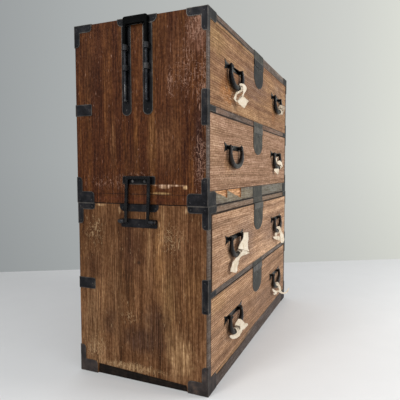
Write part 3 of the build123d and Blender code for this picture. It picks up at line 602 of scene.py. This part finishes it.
# darker sheet iron for the loops' plates: black iron, and painted shade from the loops
handle_iron = blackened_iron(
    "oiled_sheet_iron", ("#060607", "#0c0c0e", "#161517", "#302b28"), (0.35, 0.6), 0.3, shine=0.15
)
foot_iron = blackened_iron(
    "rusted_sheet_iron", ("#241f1d", "#332c2a", "#433a37", "#5d4b3e"), (0.55, 0.8), 0.3, shine=0.3
)
plate_iron = blackened_iron(
    "dusty_sheet_iron", ("#24231f", "#33322d", "#423f38", "#5a544a"), (0.5, 0.75), 0.4
)
# the rims: rubbed bare iron, and painted highlight along the edges
rubbed_highlit_iron = blackened_iron(
    "rubbed_iron_rim", ("#35322f", "#46423e", "#59544e", "#756e65"), (0.35, 0.55), 0.7
)
foot_top = 0.1
for node in ("upper_corner_irons", "lower_corner_irons", "upper_strap_irons", "lower_strap_irons"):
    piece = worn_copy(node, 0.0004, end_iron, rubbed_highlit_iron, rim=0.0011)
    if node == "lower_corner_irons":
        # the feet have rusted
        repaint(piece, foot_iron, lambda at, kind: at.z < foot_top and kind == 0)
for node in ("upper_strike_plates", "lower_strike_plates"):
    worn_copy(node, 0.0004, plate_iron, rubbed_highlit_iron, rim=0.001)
dress(end_iron, *[f"drawer_{n}_lock_bolt" for n in (1, 2, 3, 4)])

# --- nails --------------------------------------------------------------------------------
# Hand-made iron nails with low domed heads hold every iron; two larger domed studs sit in each
# wear plate. One node tree sets a head on every nail's place.
forged_iron = blackened_iron(
    "forged_black_iron", ("#050507", "#0a0a0c", "#121213", "#262321"), (0.2, 0.38), 0.3,
    pits=140.0, hammered=0.45, shine=0.25,
)
# lighter irons for studs, staples and nail heads: rubbed iron, and painted highlight
bright_iron = blackened_iron(
    "rubbed_nail_iron", ("#3a3a3b", "#4b4a4a", "#5d5a57", "#7d776f"), (0.25, 0.42), 0.8
)
nail_iron = blackened_iron(
    "dull_nail_iron", ("#222224", "#303031", "#413f3e", "#5c5751"), (0.35, 0.55), 0.6
)


def new_tree(name, **sockets):
    """A geometry node tree with named inputs, with what adds a node to it and those inputs."""
    tree = bpy.data.node_groups.new(name, "GeometryNodeTree")
    tree.is_modifier = True
    tree.interface.new_socket("Geometry", in_out="INPUT", socket_type="NodeSocketGeometry")
    for label, kind in sockets.items():
        title = label.replace("_", " ").capitalize()
        tree.interface.new_socket(title, in_out="INPUT", socket_type=f"NodeSocket{kind}")
    tree.interface.new_socket("Geometry", in_out="OUTPUT", socket_type="NodeSocketGeometry")
    return tree, partial(add, tree), add(tree, "NodeGroupInput").outputs


def finished(put, geometry, iron):
    """Ends a node tree: real, smooth and in its metal."""
    solid = put("GeometryNodeRealizeInstances", (geometry,))
    smooth = put("GeometryNodeSetShadeSmooth", (solid,))
    clad = put("GeometryNodeSetMaterial", {"Geometry": smooth, "Material": iron})
    put("NodeGroupOutput", (clad,))


def grown(name, start, tree, **sizes):
    """The plain mesh that a node tree makes from a start mesh, as an object at the origin."""
    made = placed(name, start)
    modifier = made.modifiers.new("growth", "NODES")
    modifier.node_group = tree
    for socket in tree.interface.items_tree:
        key = socket.name.lower().replace(" ", "_")
        if socket.in_out == "INPUT" and key in sizes:
            modifier[socket.identifier] = sizes[key]
    return applied(made)


head_tree, put, given = new_tree(
    "domed_nail_heads", dome="Float", uneven="Float", seed="Int", iron="Material"
)
ball = put("GeometryNodeMeshUVSphere", {"Segments": 10, "Rings": 6, "Radius": 0.5})
flattened = put("CombineXYZ", (1.0, 1.0, given["Dome"]))
dome = put("GeometryNodeTransform", {"Geometry": ball, "Scale": flattened})
facing = put("GeometryNodeInputNamedAttribute", {"Name": "facing"}, data_type="FLOAT_VECTOR")
width = put("GeometryNodeInputNamedAttribute", {"Name": "width"}, data_type="FLOAT")
turned = put("FunctionNodeAlignRotationToVector", {"Vector": facing}, axis="Z")
least = put("Math SUBTRACT", (1.0, given["Uneven"]))
most = put("Math ADD", (1.0, given["Uneven"]))
chance = {2: least, 3: most, "Seed": given["Seed"]}
size = put("Math MULTIPLY", (width, put("FunctionNodeRandomValue", chance, data_type="FLOAT")))
heads = {"Points": given["Geometry"], "Instance": dome, "Rotation": turned, "Scale": size}
finished(put, put("GeometryNodeInstanceOnPoints", heads), given["Iron"])


def nail_places(node, least_width, most_width):
    """Points on the irons under each of a node's nail heads, with their facing and width."""
    work = bmesh.new()
    work.from_mesh(frame["nodes"][node].data)
    bmesh.ops.remove_doubles(work, verts=work.verts, dist=2e-6)
    done, places = set(), []
    for first in work.verts:
        if first in done:
            continue
        island, edge = set(), {first}
        while edge:
            island |= edge
            edge = {e.other_vert(v) for v in edge for e in v.link_edges} - island
        done |= island
        low = Vector([min(v.co[i] for v in island) for i in range(3)])
        high = Vector([max(v.co[i] for v in island) for i in range(3)])
        size = high - low
        flat = min(range(3), key=lambda i: size[i])
        middle = (low + high) / 2
        outward = Vector((0, 0, 0))
        outward[flat] = 1.0 if middle[flat] > 0 else -1.0
        foot = middle - outward * size[flat] / 2
        if least_width <= max(size) < most_width:
            places.append((foot, outward, max(size)))
    work.free()
    mesh = bpy.data.meshes.new(f"{node}_places")
    mesh.from_pydata([tuple(p[0]) for p in places], [], [])
    mesh.attributes.new("facing", "FLOAT_VECTOR", "POINT").data.foreach_set(
        "vector", [c for p in places for c in p[1]]
    )
    mesh.attributes.new("width", "FLOAT", "POINT").data.foreach_set("value", [p[2] for p in places])
    return mesh


for node in ("upper_nails", "lower_nails"):
    heads = grown(
        f"{node}_heads", nail_places(node, 0.0, 0.007), head_tree,
        dome=0.5, uneven=0.12, seed=4, iron=nail_iron,
    )
    stand_in(heads, node)
# the studs in the lighter iron, partly painted highlight
studs = grown(
    "wear_plate_studs", nail_places("upper_nails", 0.007, 0.02), head_tree,
    dome=0.55, uneven=0.03, seed=9, iron=bright_iron,
)
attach(studs, "upper_case")

# --- lock plates and handle plates --------------------------------------------------------
# Sheet iron nailed to the drawer fronts: a tongue with a thick band folded over its top, and
# fish-tailed plates with forged lugs. The key slot is cut through under the band.
lock_side_x, band_height, band_rim = 0.15, 0.022, 0.0015
for number in (1, 2, 3, 4):
    sheet = end_iron if number == 1 else plate_iron
    piece = worn_copy(f"drawer_{number}_fittings", 0.0004, sheet, rubbed_highlit_iron, rim=0.001)
    # the handle plates stay black; on the lock plate the rim is painted dark on its left and under
    # the band, as painted shade, and the band is rubbed, in the lighter rim iron
    band_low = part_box(f"drawer_{number}_front")[1][2] - band_height
    repaint(piece, forged_iron, lambda at, kind: abs(at.x) > lock_side_x
            or kind == 1 and (at.x < 0 or abs(at.z - band_low) < band_rim))
    if number > 1:
        repaint(piece, rubbed_highlit_iron, lambda at, kind: kind != 2 and at.z > band_low)

# --- drawer bails -------------------------------------------------------------------------
# Forged iron bails, thin at the neck and thick where the hand takes them, with knobs above the
# lugs and pins turned inward through them. The rod follows a path and swells with its girth.
rod_tree, put, given = new_tree(
    "forged_rod", sides="Int", hammer="Float", blow="Float", seed="Float", iron="Material"
)
line = put("GeometryNodeMeshToCurve", {"Mesh": given["Geometry"]})
girth = put("GeometryNodeInputNamedAttribute", {"Name": "girth"}, data_type="FLOAT")
ring = put("GeometryNodeCurvePrimitiveCircle", {"Resolution": given["Sides"], "Radius": 1.0})
skin = {"Curve": line, "Profile Curve": ring, "Scale": girth, "Fill Caps": True}
skin = put("GeometryNodeCurveToMesh", skin)
blows = put("TexNoise", {"Scale": given["Blow"], "W": given["Seed"]}, noise_dimensions="4D")
off = put("Math MULTIPLY", (put("Math SUBTRACT", (blows, 0.5)), given["Hammer"]))
dent = put("VectorMath SCALE", {0: put("GeometryNodeInputNormal"), "Scale": off})
skin = put("GeometryNodeSetPosition", {"Geometry": skin, "Offset": dent})
finished(put, skin, given["Iron"])


def guide(name, runs):
    """Lines for a rod to follow, each point (x, y, height, girth) in millimetres."""
    points, edges = [], []
    for run in runs:
        edges += [(len(points) + i, len(points) + i + 1) for i in range(len(run) - 1)]
        points += run
    mesh = bpy.data.meshes.new(name)
    mesh.from_pydata([(x / 1000, y / 1000, z / 1000) for x, y, z, _ in points], edges, [])
    mesh.attributes.new("girth", "FLOAT", "POINT").data.foreach_set(
        "value", [point[3] / 1000 for point in points]
    )
    return mesh


handle_rows = {1: (-213.5, 932.0), 2: (-213.5, 693.0), 3: (-218.0, 416.0), 4: (-215.5, 172.0)}
handles = {
    f"drawer_{number}_{side}": (number, x, y, axis)
    for number, (y, axis) in handle_rows.items() for side, x in (("left", -285.0), ("right", 285.0))
}
bail_half, bail_drop, bail_neck, bail_swell = 56.0, 56.0, 4.8, 3.4


def bail_ring(x, y, axis):
    """Points and girths down one leg of a bail, round its foot and up the other."""
    ring = []
    for step in range(41):
        turn = math.pi * (1 + step / 40)
        c, s = math.cos(turn), math.sin(turn)
        square = (abs(c) ** 2.3 + abs(s) ** 2.3) ** (-1 / 2.3)
        low = 16 + (bail_drop - 16) * -s * square
        swell = min(1.0, low / 40) ** 0.9
        bulge = 2.5 * math.sin(math.pi * min(1.0, low / 44))
        out = (bail_half - 1 + bulge) * c * square
        ring.append((x + out, y, axis - low, bail_neck + bail_swell * swell))
    return ring


# drawer 1's bails have kept their black, the others have rusted a little
rusty_iron = blackened_iron(
    "rusting_forged_iron", ("#0c0a09", "#191412", "#28201b", "#43352b"), (0.25, 0.42), 0.4,
    pits=140.0, hammered=0.45,
)
for key, (number, x, y, axis) in handles.items():
    ring = bail_ring(x, y, axis)
    runs = []
    for sign in (-1, 1):
        leg = x + sign * (bail_half - 1.0)
        # the knob above the pin, then the neck
        rises = ((8.0, 1.4), (7.2, 3.0), (5.0, 4.1), (2.4, 3.8), (0.0, 4.8), (-7.0, 5.4))
        neck = [(leg, y, axis + rise, girth) for rise, girth in rises]
        ring = neck + ring if sign < 0 else ring + neck[::-1]
        girths = ((41.0, 3.2), (41.6, 4.5), (43.2, 4.5), (43.5, 3.0), (52.0, 3.0), (55.0, 3.4))
        runs.append([(x + sign * out, y, axis, girth) for out, girth in girths])
    runs.append(ring)
    bail = grown(
        f"{key}_bail_forged", guide(f"{key}_bail_path", runs), rod_tree,
        sides=14, hammer=0.0011, blow=55.0, seed=number + x / 100,
        iron=rusty_iron if number > 1 else forged_iron,
    )
    stand_in(bail, f"{key}_bail")

# --- carrying loops and their plates ------------------------------------------------------
# A forged loop slides in four staples on each upper end: a thick flat cross bar with rounded
# shoulders, and two round rods with heads at their feet. Long strips and an edge plate lie behind.


def forged(name, outline, x0, x1, soft, iron, lean=None):
    """A bar cut to an outline in (depth, height) mm, from x0 to x1 mm, with softened edges."""
    work = prism(*(
        [(x + (lean(z) if lean else 0.0), front_y * 1000 + depth, z) for depth, z in outline]
        for x in (x0, x1)
    ))
    bmesh.ops.recalc_face_normals(work, faces=work.faces)
    sharp = [e for e in work.edges if e.calc_face_angle(0.0) > math.radians(50)]
    bmesh.ops.bevel(
        work, geom=sharp, offset=soft / 1000, segments=3, profile=0.5, affect="EDGES",
        clamp_overlap=True,
    )
    for face in work.faces:
        face.smooth = face.calc_area() < 6e-5
    return built(name, work, iron)


def welded(name, *parts):
    """One object from several, each with its own material."""
    work, kinds = bmesh.new(), []
    for i, part in enumerate(parts):
        before = len(work.faces)
        work.from_mesh(part.data)
        work.faces.ensure_lookup_table()
        for face in work.faces[before:]:
            face.material_index = i
        kinds.append(part.data.materials[0])
        bpy.data.objects.remove(part)
    return built(name, work, *kinds)


def rounded(corners, steps=5):
    """An outline in (depth, height) whose (depth, height, radius) corners are arcs."""
    outline = []
    for i, corner in enumerate(corners):
        if len(corner) == 2:
            outline.append(corner)
            continue
        here = Vector(corner[:2])
        before, after = Vector(corners[i - 1][:2]), Vector(corners[(i + 1) % len(corners)][:2])
        start = here + (before - here).normalized() * corner[2]
        end = here + (after - here).normalized() * corner[2]
        for step in range(steps + 1):
            t = step / steps
            outline.append(tuple((1 - t) ** 2 * start + 2 * t * (1 - t) * here + t**2 * end))
    return outline


def arch(middle, outside, inside):
    """An arched bar's outline, from the corners of its near half from the foot up, outside and
    inside: distance from the middle, height and radius."""

    def half(way, corners):
        return [(middle + way * corner[0], *corner[1:]) for corner in corners]

    outline = half(-1, outside) + half(1, outside[::-1])
    return rounded(outline + half(1, inside) + half(-1, inside[::-1]))


# the rods are rubbed bright where they slide in the staples; their lighter iron is partly painted
# highlight
sliding_iron = blackened_iron(
    "rubbed_sliding_iron", ("#1a1b1e", "#28292c", "#3a3a3c", "#56524e"), (0.18, 0.34), 0.7, 140.0
)
# the cross bar is painted near black with almost no shine: black iron, and painted shade
near_black_iron = blackened_iron(
    "sooty_forged_iron", ("#020202", "#040404", "#070707", "#0d0c0b"), (0.5, 0.7), 0.1, shine=0.04
)
loop_middle, loop_half, loop_top, shoulder, leg, rod_x = 216.0, 34.5, 1052.0, 974, 4.5, 508
for side, sign in (("left", -1), ("right", 1)):
    outside = [(loop_half + leg, shoulder), (loop_half + leg, loop_top, 7)]
    inside = [(loop_half - leg, shoulder), (loop_half - leg, loop_top - 22, 3)]
    bar = forged(
        f"{side}_loop_bar", arch(loop_middle, outside, inside),
        sign * rod_x - leg, sign * rod_x + leg, 2.0, near_black_iron,
    )
    y = front_y * 1000 + loop_middle
    runs = []
    for way in (-1, 1):
        # the head at the foot, then the rod
        girths = ((818, 4.6), (818.6, 5.7), (822, 6.0), (823.4, 4.3))
        girths += ((880, 4.25), (940, 4.25), (979, 4.25))
        runs.append([(sign * rod_x, y + way * loop_half, z, girth) for z, girth in girths])
    rods = grown(
        f"{side}_loop_rods", guide(f"{side}_loop_path", runs), rod_tree,
        sides=16, hammer=0.0004, blow=70.0, seed=3.0 * sign, iron=sliding_iron,
    )
    stand_in(welded(f"{side}_carrying_loop_forged", bar, rods), f"{side}_carrying_loop")
# the plates behind the loops are darker: black iron, and painted shade from the loops
worn_copy("carrying_loop_plates", 0.0004, handle_iron, rubbed_highlit_iron, rim=0.0011)
# the staples' edges in the lighter iron, partly painted highlight
worn_copy("carrying_loop_staples", 0.0012, nail_iron, bright_iron)

# --- lifting bails ------------------------------------------------------------------------
# A forged bail on each lower end hinges in two knuckles on a nailed plate and is stored standing
# up, its cross bar resting by the wear plate. Its pins run out through the knuckles.
bail_middle, axis_z, foot, axis_x, bar_x, bail_top = 214.0, 478.0, 473.0, 514.0, 505.3, 608.0
for side, sign in (("left", -1), ("right", 1)):
    outside = [(40.5, foot, 3), (40.5, axis_z + 12), (41.5, axis_z + 40), (41.5, bail_top, 6)]
    inside = [(31.5, foot, 3), (31.5, bail_top - 9, 4)]
    frame_bar = forged(
        f"{side}_bail_frame", arch(bail_middle, outside, inside),
        sign * axis_x - 3.5, sign * axis_x + 3.5, 1.5, forged_iron,
        lean=lambda z: -sign * (axis_x - bar_x) * max(0.0, z - axis_z) / (bail_top - 4.5 - axis_z)
        if z < bail_top - 9 else -sign * (axis_x - bar_x),
    )
    y = front_y * 1000 + bail_middle
    runs = []
    for way in (-1, 1):
        girths = ((33.0, 3.0), (57.2, 3.0), (57.4, 4.6), (58.4, 5.6), (60.0, 5.6), (61.2, 4.2))
        runs.append([(sign * axis_x, y + way * out, axis_z, girth) for out, girth in girths])
    pins = grown(
        f"{side}_bail_pins", guide(f"{side}_bail_pin_path", runs), rod_tree,
        sides=14, hammer=0.0002, blow=90.0, seed=7.0 * sign, iron=sliding_iron,
    )
    stand_in(welded(f"{side}_lifting_bail_forged", frame_bar, pins), f"{side}_lifting_bail")
plates = worn_copy("lifting_bail_plates", 0.0008, end_iron, rubbed_highlit_iron)
knuckle_x = 0.5095
# the knuckles in the lighter sliding iron, partly painted highlight
repaint(plates, sliding_iron, lambda at, _: abs(at.x) > knuckle_x)

# --- cloth ties ---------------------------------------------------------------------------
# Strips torn from unbleached cotton, about 24 mm wide, wound round a bail and knotted, with
# crumpled loose tails. Each part is drawn through rows of its two edges, and rests on the rod.
cotton, put = new_material("unbleached_plain_weave_cotton")
# The weave is drawn at 1.3 mm a thread pair, twice as coarse as the cloth's, so that it shows.
thread = {"Vector": put("UVMap", uv_map="cut"), "Scale": 245.0, "Distortion": 1.2, "Detail": 1.0}
warp, weft = (put("TexWave", thread, wave_type="BANDS", bands_direction=way) for way in "XY")
weave = put("Math ADD", (warp.outputs[1], weft.outputs[1]))
spot = put("TexCoord").outputs["Object"]
soil = put("TexNoise", {"Vector": spot, "Scale": 55.0, "Detail": 5.0})
crease = put("TexNoise", {"Vector": spot, "Scale": 170.0, "Detail": 3.0})
stops = [(0.3, "#d3bd9c"), (0.45, "#ead8bd"), (0.6, "#f3e4cc"), (0.75, "#f8ecd8")]
tone = put("ValToRGB", (soil,), stops)
worn = put("MapRange", (weave, 0.0, 2.0, 0.9, 1.03))
tone = put("VectorMath SCALE", {0: tone, "Scale": worn})
high = put("Math MULTIPLY_ADD", (crease, 3.0, weave))
relief = put("Bump", {"Height": high, "Strength": 0.5, "Distance": 0.0008})
look = {"Base Color": tone, "Roughness": 0.92, "Normal": relief, "Sheen Weight": 0.25}
put("OutputMaterial", {"Surface": put("BsdfPrincipled", look)})

# Where each is wound round the rod (x, tilt in degrees, width) and the cut length of the strip of
# 24 mm cloth. Then where its parts run, from the bail's middle and axis: rows of one edge's x,
# distance before the chest's front and height, then the other edge's. All in millimetres.
ties = {
    "drawer_1_left": ((22, 8, 22, 230), [
        [(2, 15, -43, 5, 16, -46), (12, 18, -40, 11, 18, -47), (23, 22, -40, 16, 20, -48),
         (34, 25, -43, 20, 21, -51), (39, 27, -50, 20, 21, -55), (36, 26, -59, 20, 21, -60),
         (29, 23, -68, 20, 21, -67), (24, 22, -75, 17, 20, -73), (13, 18, -86, 7, 16, -83),
         (2, 15, -96, -5, 12, -93)],
        [(17, 21, -61, 12, 20, -58), (2, 16, -70, -2, 15, -65), (-11, 12, -77, -15, 10, -72),
         (-14, 11, -86, -22, 8, -84), (-15, 10, -93, -25, 7, -92), (-8, 13, -95, -14, 11, -100)],
        [(15, 22, -77, -13, 13, -99), (27, 26, -82, 0, 17, -105), (38, 29, -86, 14, 21, -111),
         (45, 32, -90, 25, 25, -114)],
    ]),
    "drawer_1_right": ((30, 12, 22, 140), [
        [(24, 4, -35, 26, 6, -39), (25, 8, -26, 27, 10, -37), (26, 13, -22, 28, 16, -37),
         (30, 22, -24, 30, 19, -38), (33, 30, -30, 31, 23, -44), (33, 29, -43, 31, 22, -49),
         (33, 25, -54, 30, 18, -55), (32, 21, -65, 28, 11, -62)],
    ]),
    "drawer_2_right": ((30, 28, 20, 200), [
        [(-14, 12, -10, -11, 13, -11), (-32, 9, -18, -20, 11, -19), (-37, 7, -25, -20, 11, -26),
         (-29, 9, -33, -17, 12, -34)],
        [(-20, 13, -30, -20, 12, -40), (0, 17, -26, -6, 15, -42), (18, 20, -29, 9, 18, -43),
         (31, 23, -37, 22, 21, -47), (39, 24, -51, 31, 22, -52)],
        [(-53, 6, -62, -8, 16, -59), (-50, 7, -69, -6, 17, -68), (-35, 10, -77, -8, 16, -77),
         (-19, 14, -85, -12, 15, -85)],
    ]),
    "drawer_3_left": ((16, 5, 26, 360), [
        [(22, 25, 11, 55, 31, 8), (22, 25, 1, 58, 31, -3), (18, 24, -9, 58, 31, -16),
         (7, 22, -17, 54, 30, -28), (-4, 20, -26, 56, 30, -41), (-12, 19, -35, 64, 32, -56)],
        [(13, 24, -44, 12, 24, -61), (32, 28, -48, 29, 27, -63), (49, 30, -54, 49, 30, -63),
         (65, 33, -60, 65, 33, -62)],
        [(12, 25, -47, 14, 26, -58), (-2, 23, -52, 6, 24, -62), (-20, 19, -59, -7, 22, -68),
         (-38, 16, -65, -11, 21, -74), (-52, 13, -74, -16, 20, -85), (-59, 12, -86, -21, 19, -97),
         (-64, 11, -97, -26, 18, -109)],
    ]),
    "drawer_3_right": ((2, -6, 24, 280), [
        [(-35, 14, -40, -30, 15, -45), (-25, 17, -34, -19, 19, -44), (-5, 22, -35, -13, 20, -48),
         (11, 26, -46, -6, 22, -54), (15, 27, -58, 0, 23, -62), (30, 31, -71, 4, 24, -75),
         (42, 33, -89, 7, 25, -90), (46, 34, -104, 10, 25, -103), (36, 31, -115, 15, 26, -111)],
        [(-21, 19, -60, -36, 15, -57), (-30, 17, -68, -46, 12, -63), (-28, 17, -76, -42, 14, -74)],
        [(-65, 9, -73, -63, 9, -77), (-45, 14, -74, -48, 13, -85), (-24, 20, -75, -27, 19, -92),
         (-9, 24, -80, -9, 24, -97), (-1, 26, -89, -1, 26, -99)],
    ]),
    "drawer_4_left": ((-8, -10, 30, 290), [
        [(-9, 20, -16, -36, 17, -29), (10, 23, -23, -19, 19, -34), (28, 25, -36, 1, 22, -44),
         (43, 26, -47, 8, 22, -56), (63, 28, -54, 32, 25, -64), (70, 29, -62, 51, 27, -64)],
        [(22, 25, -60, 3, 23, -53), (9, 24, -66, -10, 21, -55), (-1, 22, -73, -28, 19, -57),
         (-23, 20, -73, -52, 16, -53), (-50, 16, -66, -67, 14, -49), (-67, 14, -56, -73, 13, -49)],
    ]),
    "drawer_4_right": ((6, 4, 24, 270), [
        [(-33, 14, -45, -24, 16, -52), (-16, 17, -44, -10, 18, -55), (4, 21, -50, -2, 20, -62),
         (23, 24, -64, 4, 21, -69), (31, 25, -78, 9, 21, -78), (34, 25, -88, 10, 21, -87),
         (51, 28, -98, 30, 24, -98), (73, 31, -105, 63, 29, -110), (100, 35, -108, 105, 35, -117),
         (122, 38, -103, 131, 39, -111), (140, 40, -99, 147, 41, -105)],
        [(6, 22, -78, 9, 22, -86), (-17, 18, -75, -17, 18, -82), (-37, 15, -69, -44, 14, -77),
         (-54, 12, -59, -62, 11, -67), (-70, 9, -52, -72, 9, -56)],
        [(-25, 18, -76, -18, 19, -84), (-38, 16, -78, -31, 17, -87), (-60, 12, -77, -53, 13, -85)],
    ]),
}


def smooth_rows(rows, steps):
    """Catmull-Rom rows through the given ones."""
    made = []
    for i in range(len(rows) - 1):
        four = [Vector(rows[max(0, min(len(rows) - 1, i + k))]) for k in (-1, 0, 1, 2)]
        for step in range(steps):
            t = step / steps
            a = 2 * four[1] + (four[2] - four[0]) * t
            b = (2 * four[0] - 5 * four[1] + 4 * four[2] - four[3]) * t * t
            c = (3 * four[1] - four[0] - 3 * four[2] + four[3]) * t**3
            made.append((a + b + c) / 2)
    return made + [Vector(rows[-1])]


def torn_strip(rows, seed, crumple):
    """A crumpled strip through rows of its edges: points, faces and places in the cut cloth."""
    lines = smooth_rows([(*first, *last) for first, last in rows], 5)
    points, cut, faces, across, along = [], [], [], 8, 0.0
    for i, line in enumerate(lines):
        first, last = Vector(line[:3]), Vector(line[3:])
        ahead = Vector(lines[min(i + 1, len(lines) - 1)]) - Vector(lines[max(i - 1, 0)])
        way = (Vector(ahead[:3]) + Vector(ahead[3:])).normalized()
        span = last - first
        normal = way.cross(span).normalized()
        if i:
            along += ((first + last) / 2 - middle).length
        middle = (first + last) / 2
        for j in range(across + 1):
            v = j / across
            fold = math.sin(math.pi * v) * 0.9
            swing = math.sin(0.19 * along + 2.3 * seed)
            fold += 0.8 * swing * math.sin(9.0 * v + 0.11 * along + seed)
            fold += 0.35 * math.sin(21.0 * v - 0.3 * along + 3.1 * seed)
            frayed = 0.5 * math.sin(1.7 * along + seed + 5 * v) if j in (0, across) else 0.0
            spot = first + span * v + normal * fold * crumple + span.normalized() * frayed
            points.append(spot)
            cut.append((along / 1000, v * 0.024))
            if i and j:
                row, before = i * (across + 1), (i - 1) * (across + 1)
                faces.append((before + j - 1, before + j, row + j, row + j - 1))
    return points, faces, cut


def wound(middle, direction, width, gap, turns, start):
    """Rows of a strip wound round a rod at a point, its width along the rod."""
    along = Vector(direction).normalized()
    up = along.cross(Vector((0, 1, 0))).normalized()
    rows, count = [], 5 + int(9 * turns)
    for i in range(count):
        angle = math.radians(start + 360 * turns * i / (count - 1))
        slack = gap + 0.9 * i / (count - 1) + 0.5 * math.sin(2.6 * i)
        here = middle + (up * math.cos(angle) - Vector((0, 1, 0)) * math.sin(angle)) * slack
        here += along * 1.4 * math.sin(1.3 * i)
        rows.append((here - along * width / 2, here + along * width / 2))
    return rows


for key, ((turn_x, tilt, width, cut_length), parts) in ties.items():
    number, x, y, axis = handles[key]
    rod = bail_ring(x, y, axis)
    on_rod = min(rod, key=lambda p: abs(p[0] - x - turn_x) + (20 if p[2] > axis - 40 else 0))
    middle = Vector(on_rod[:3])
    a = math.radians(tilt)
    strips = [
        wound(middle, (math.cos(turn), 0, math.sin(turn)), wide, on_rod[3] + gap, turns, start)
        for turn, wide, gap, turns, start in (
            (a, width, 1.3, 1.2, 200), (a - 0.5, 0.45 * width, 3.2, 0.6, 30),
        )
    ]
    at = Vector((x, front_y * 1000, axis))
    for run in parts:
        strips.append([
            (at + Vector((x1, -out1, z1)), at + Vector((x2, -out2, z2)))
            for x1, out1, z1, x2, out2, z2 in run
        ])
    points, faces, cut = [], [], []
    for n, rows in enumerate(strips):
        more, panels, places = torn_strip(rows, 1.3 * n + number + x / 200, 0.5 if n < 2 else 1.0)
        faces += [tuple(i + len(points) for i in panel) for panel in panels]
        points += more
        cut += places
    drawer_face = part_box(f"drawer_{number}_front")[0][1] * 1000
    for spot in points:
        # the cloth lies on the rod, not in it, and before the drawer's face
        near = min(rod, key=lambda p: (Vector(p[:3]) - spot).length_squared)
        off = spot - Vector(near[:3])
        least = near[3] + 1.1
        if off.length < least:
            spot += off.normalized() * (least - off.length)
        spot.y = min(spot.y, drawer_face - 1.6 - 0.02 * max(0.0, axis - spot.z))
    tie = mesh_object(f"{key}_tie_cloth", [spot / 1000 for spot in points], faces, cotton)
    places = tie.data.uv_layers.new(name="cut")
    for corner in tie.data.loops:
        places.data[corner.index].uv = cut[corner.vertex_index]
    tie.data.shade_smooth()
    thick = tie.modifiers.new("cloth_thickness", "SOLIDIFY")
    thick.thickness, thick.offset = 0.0008, 0.0
    stand_in(tie, f"{key}_tie")
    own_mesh(tie)
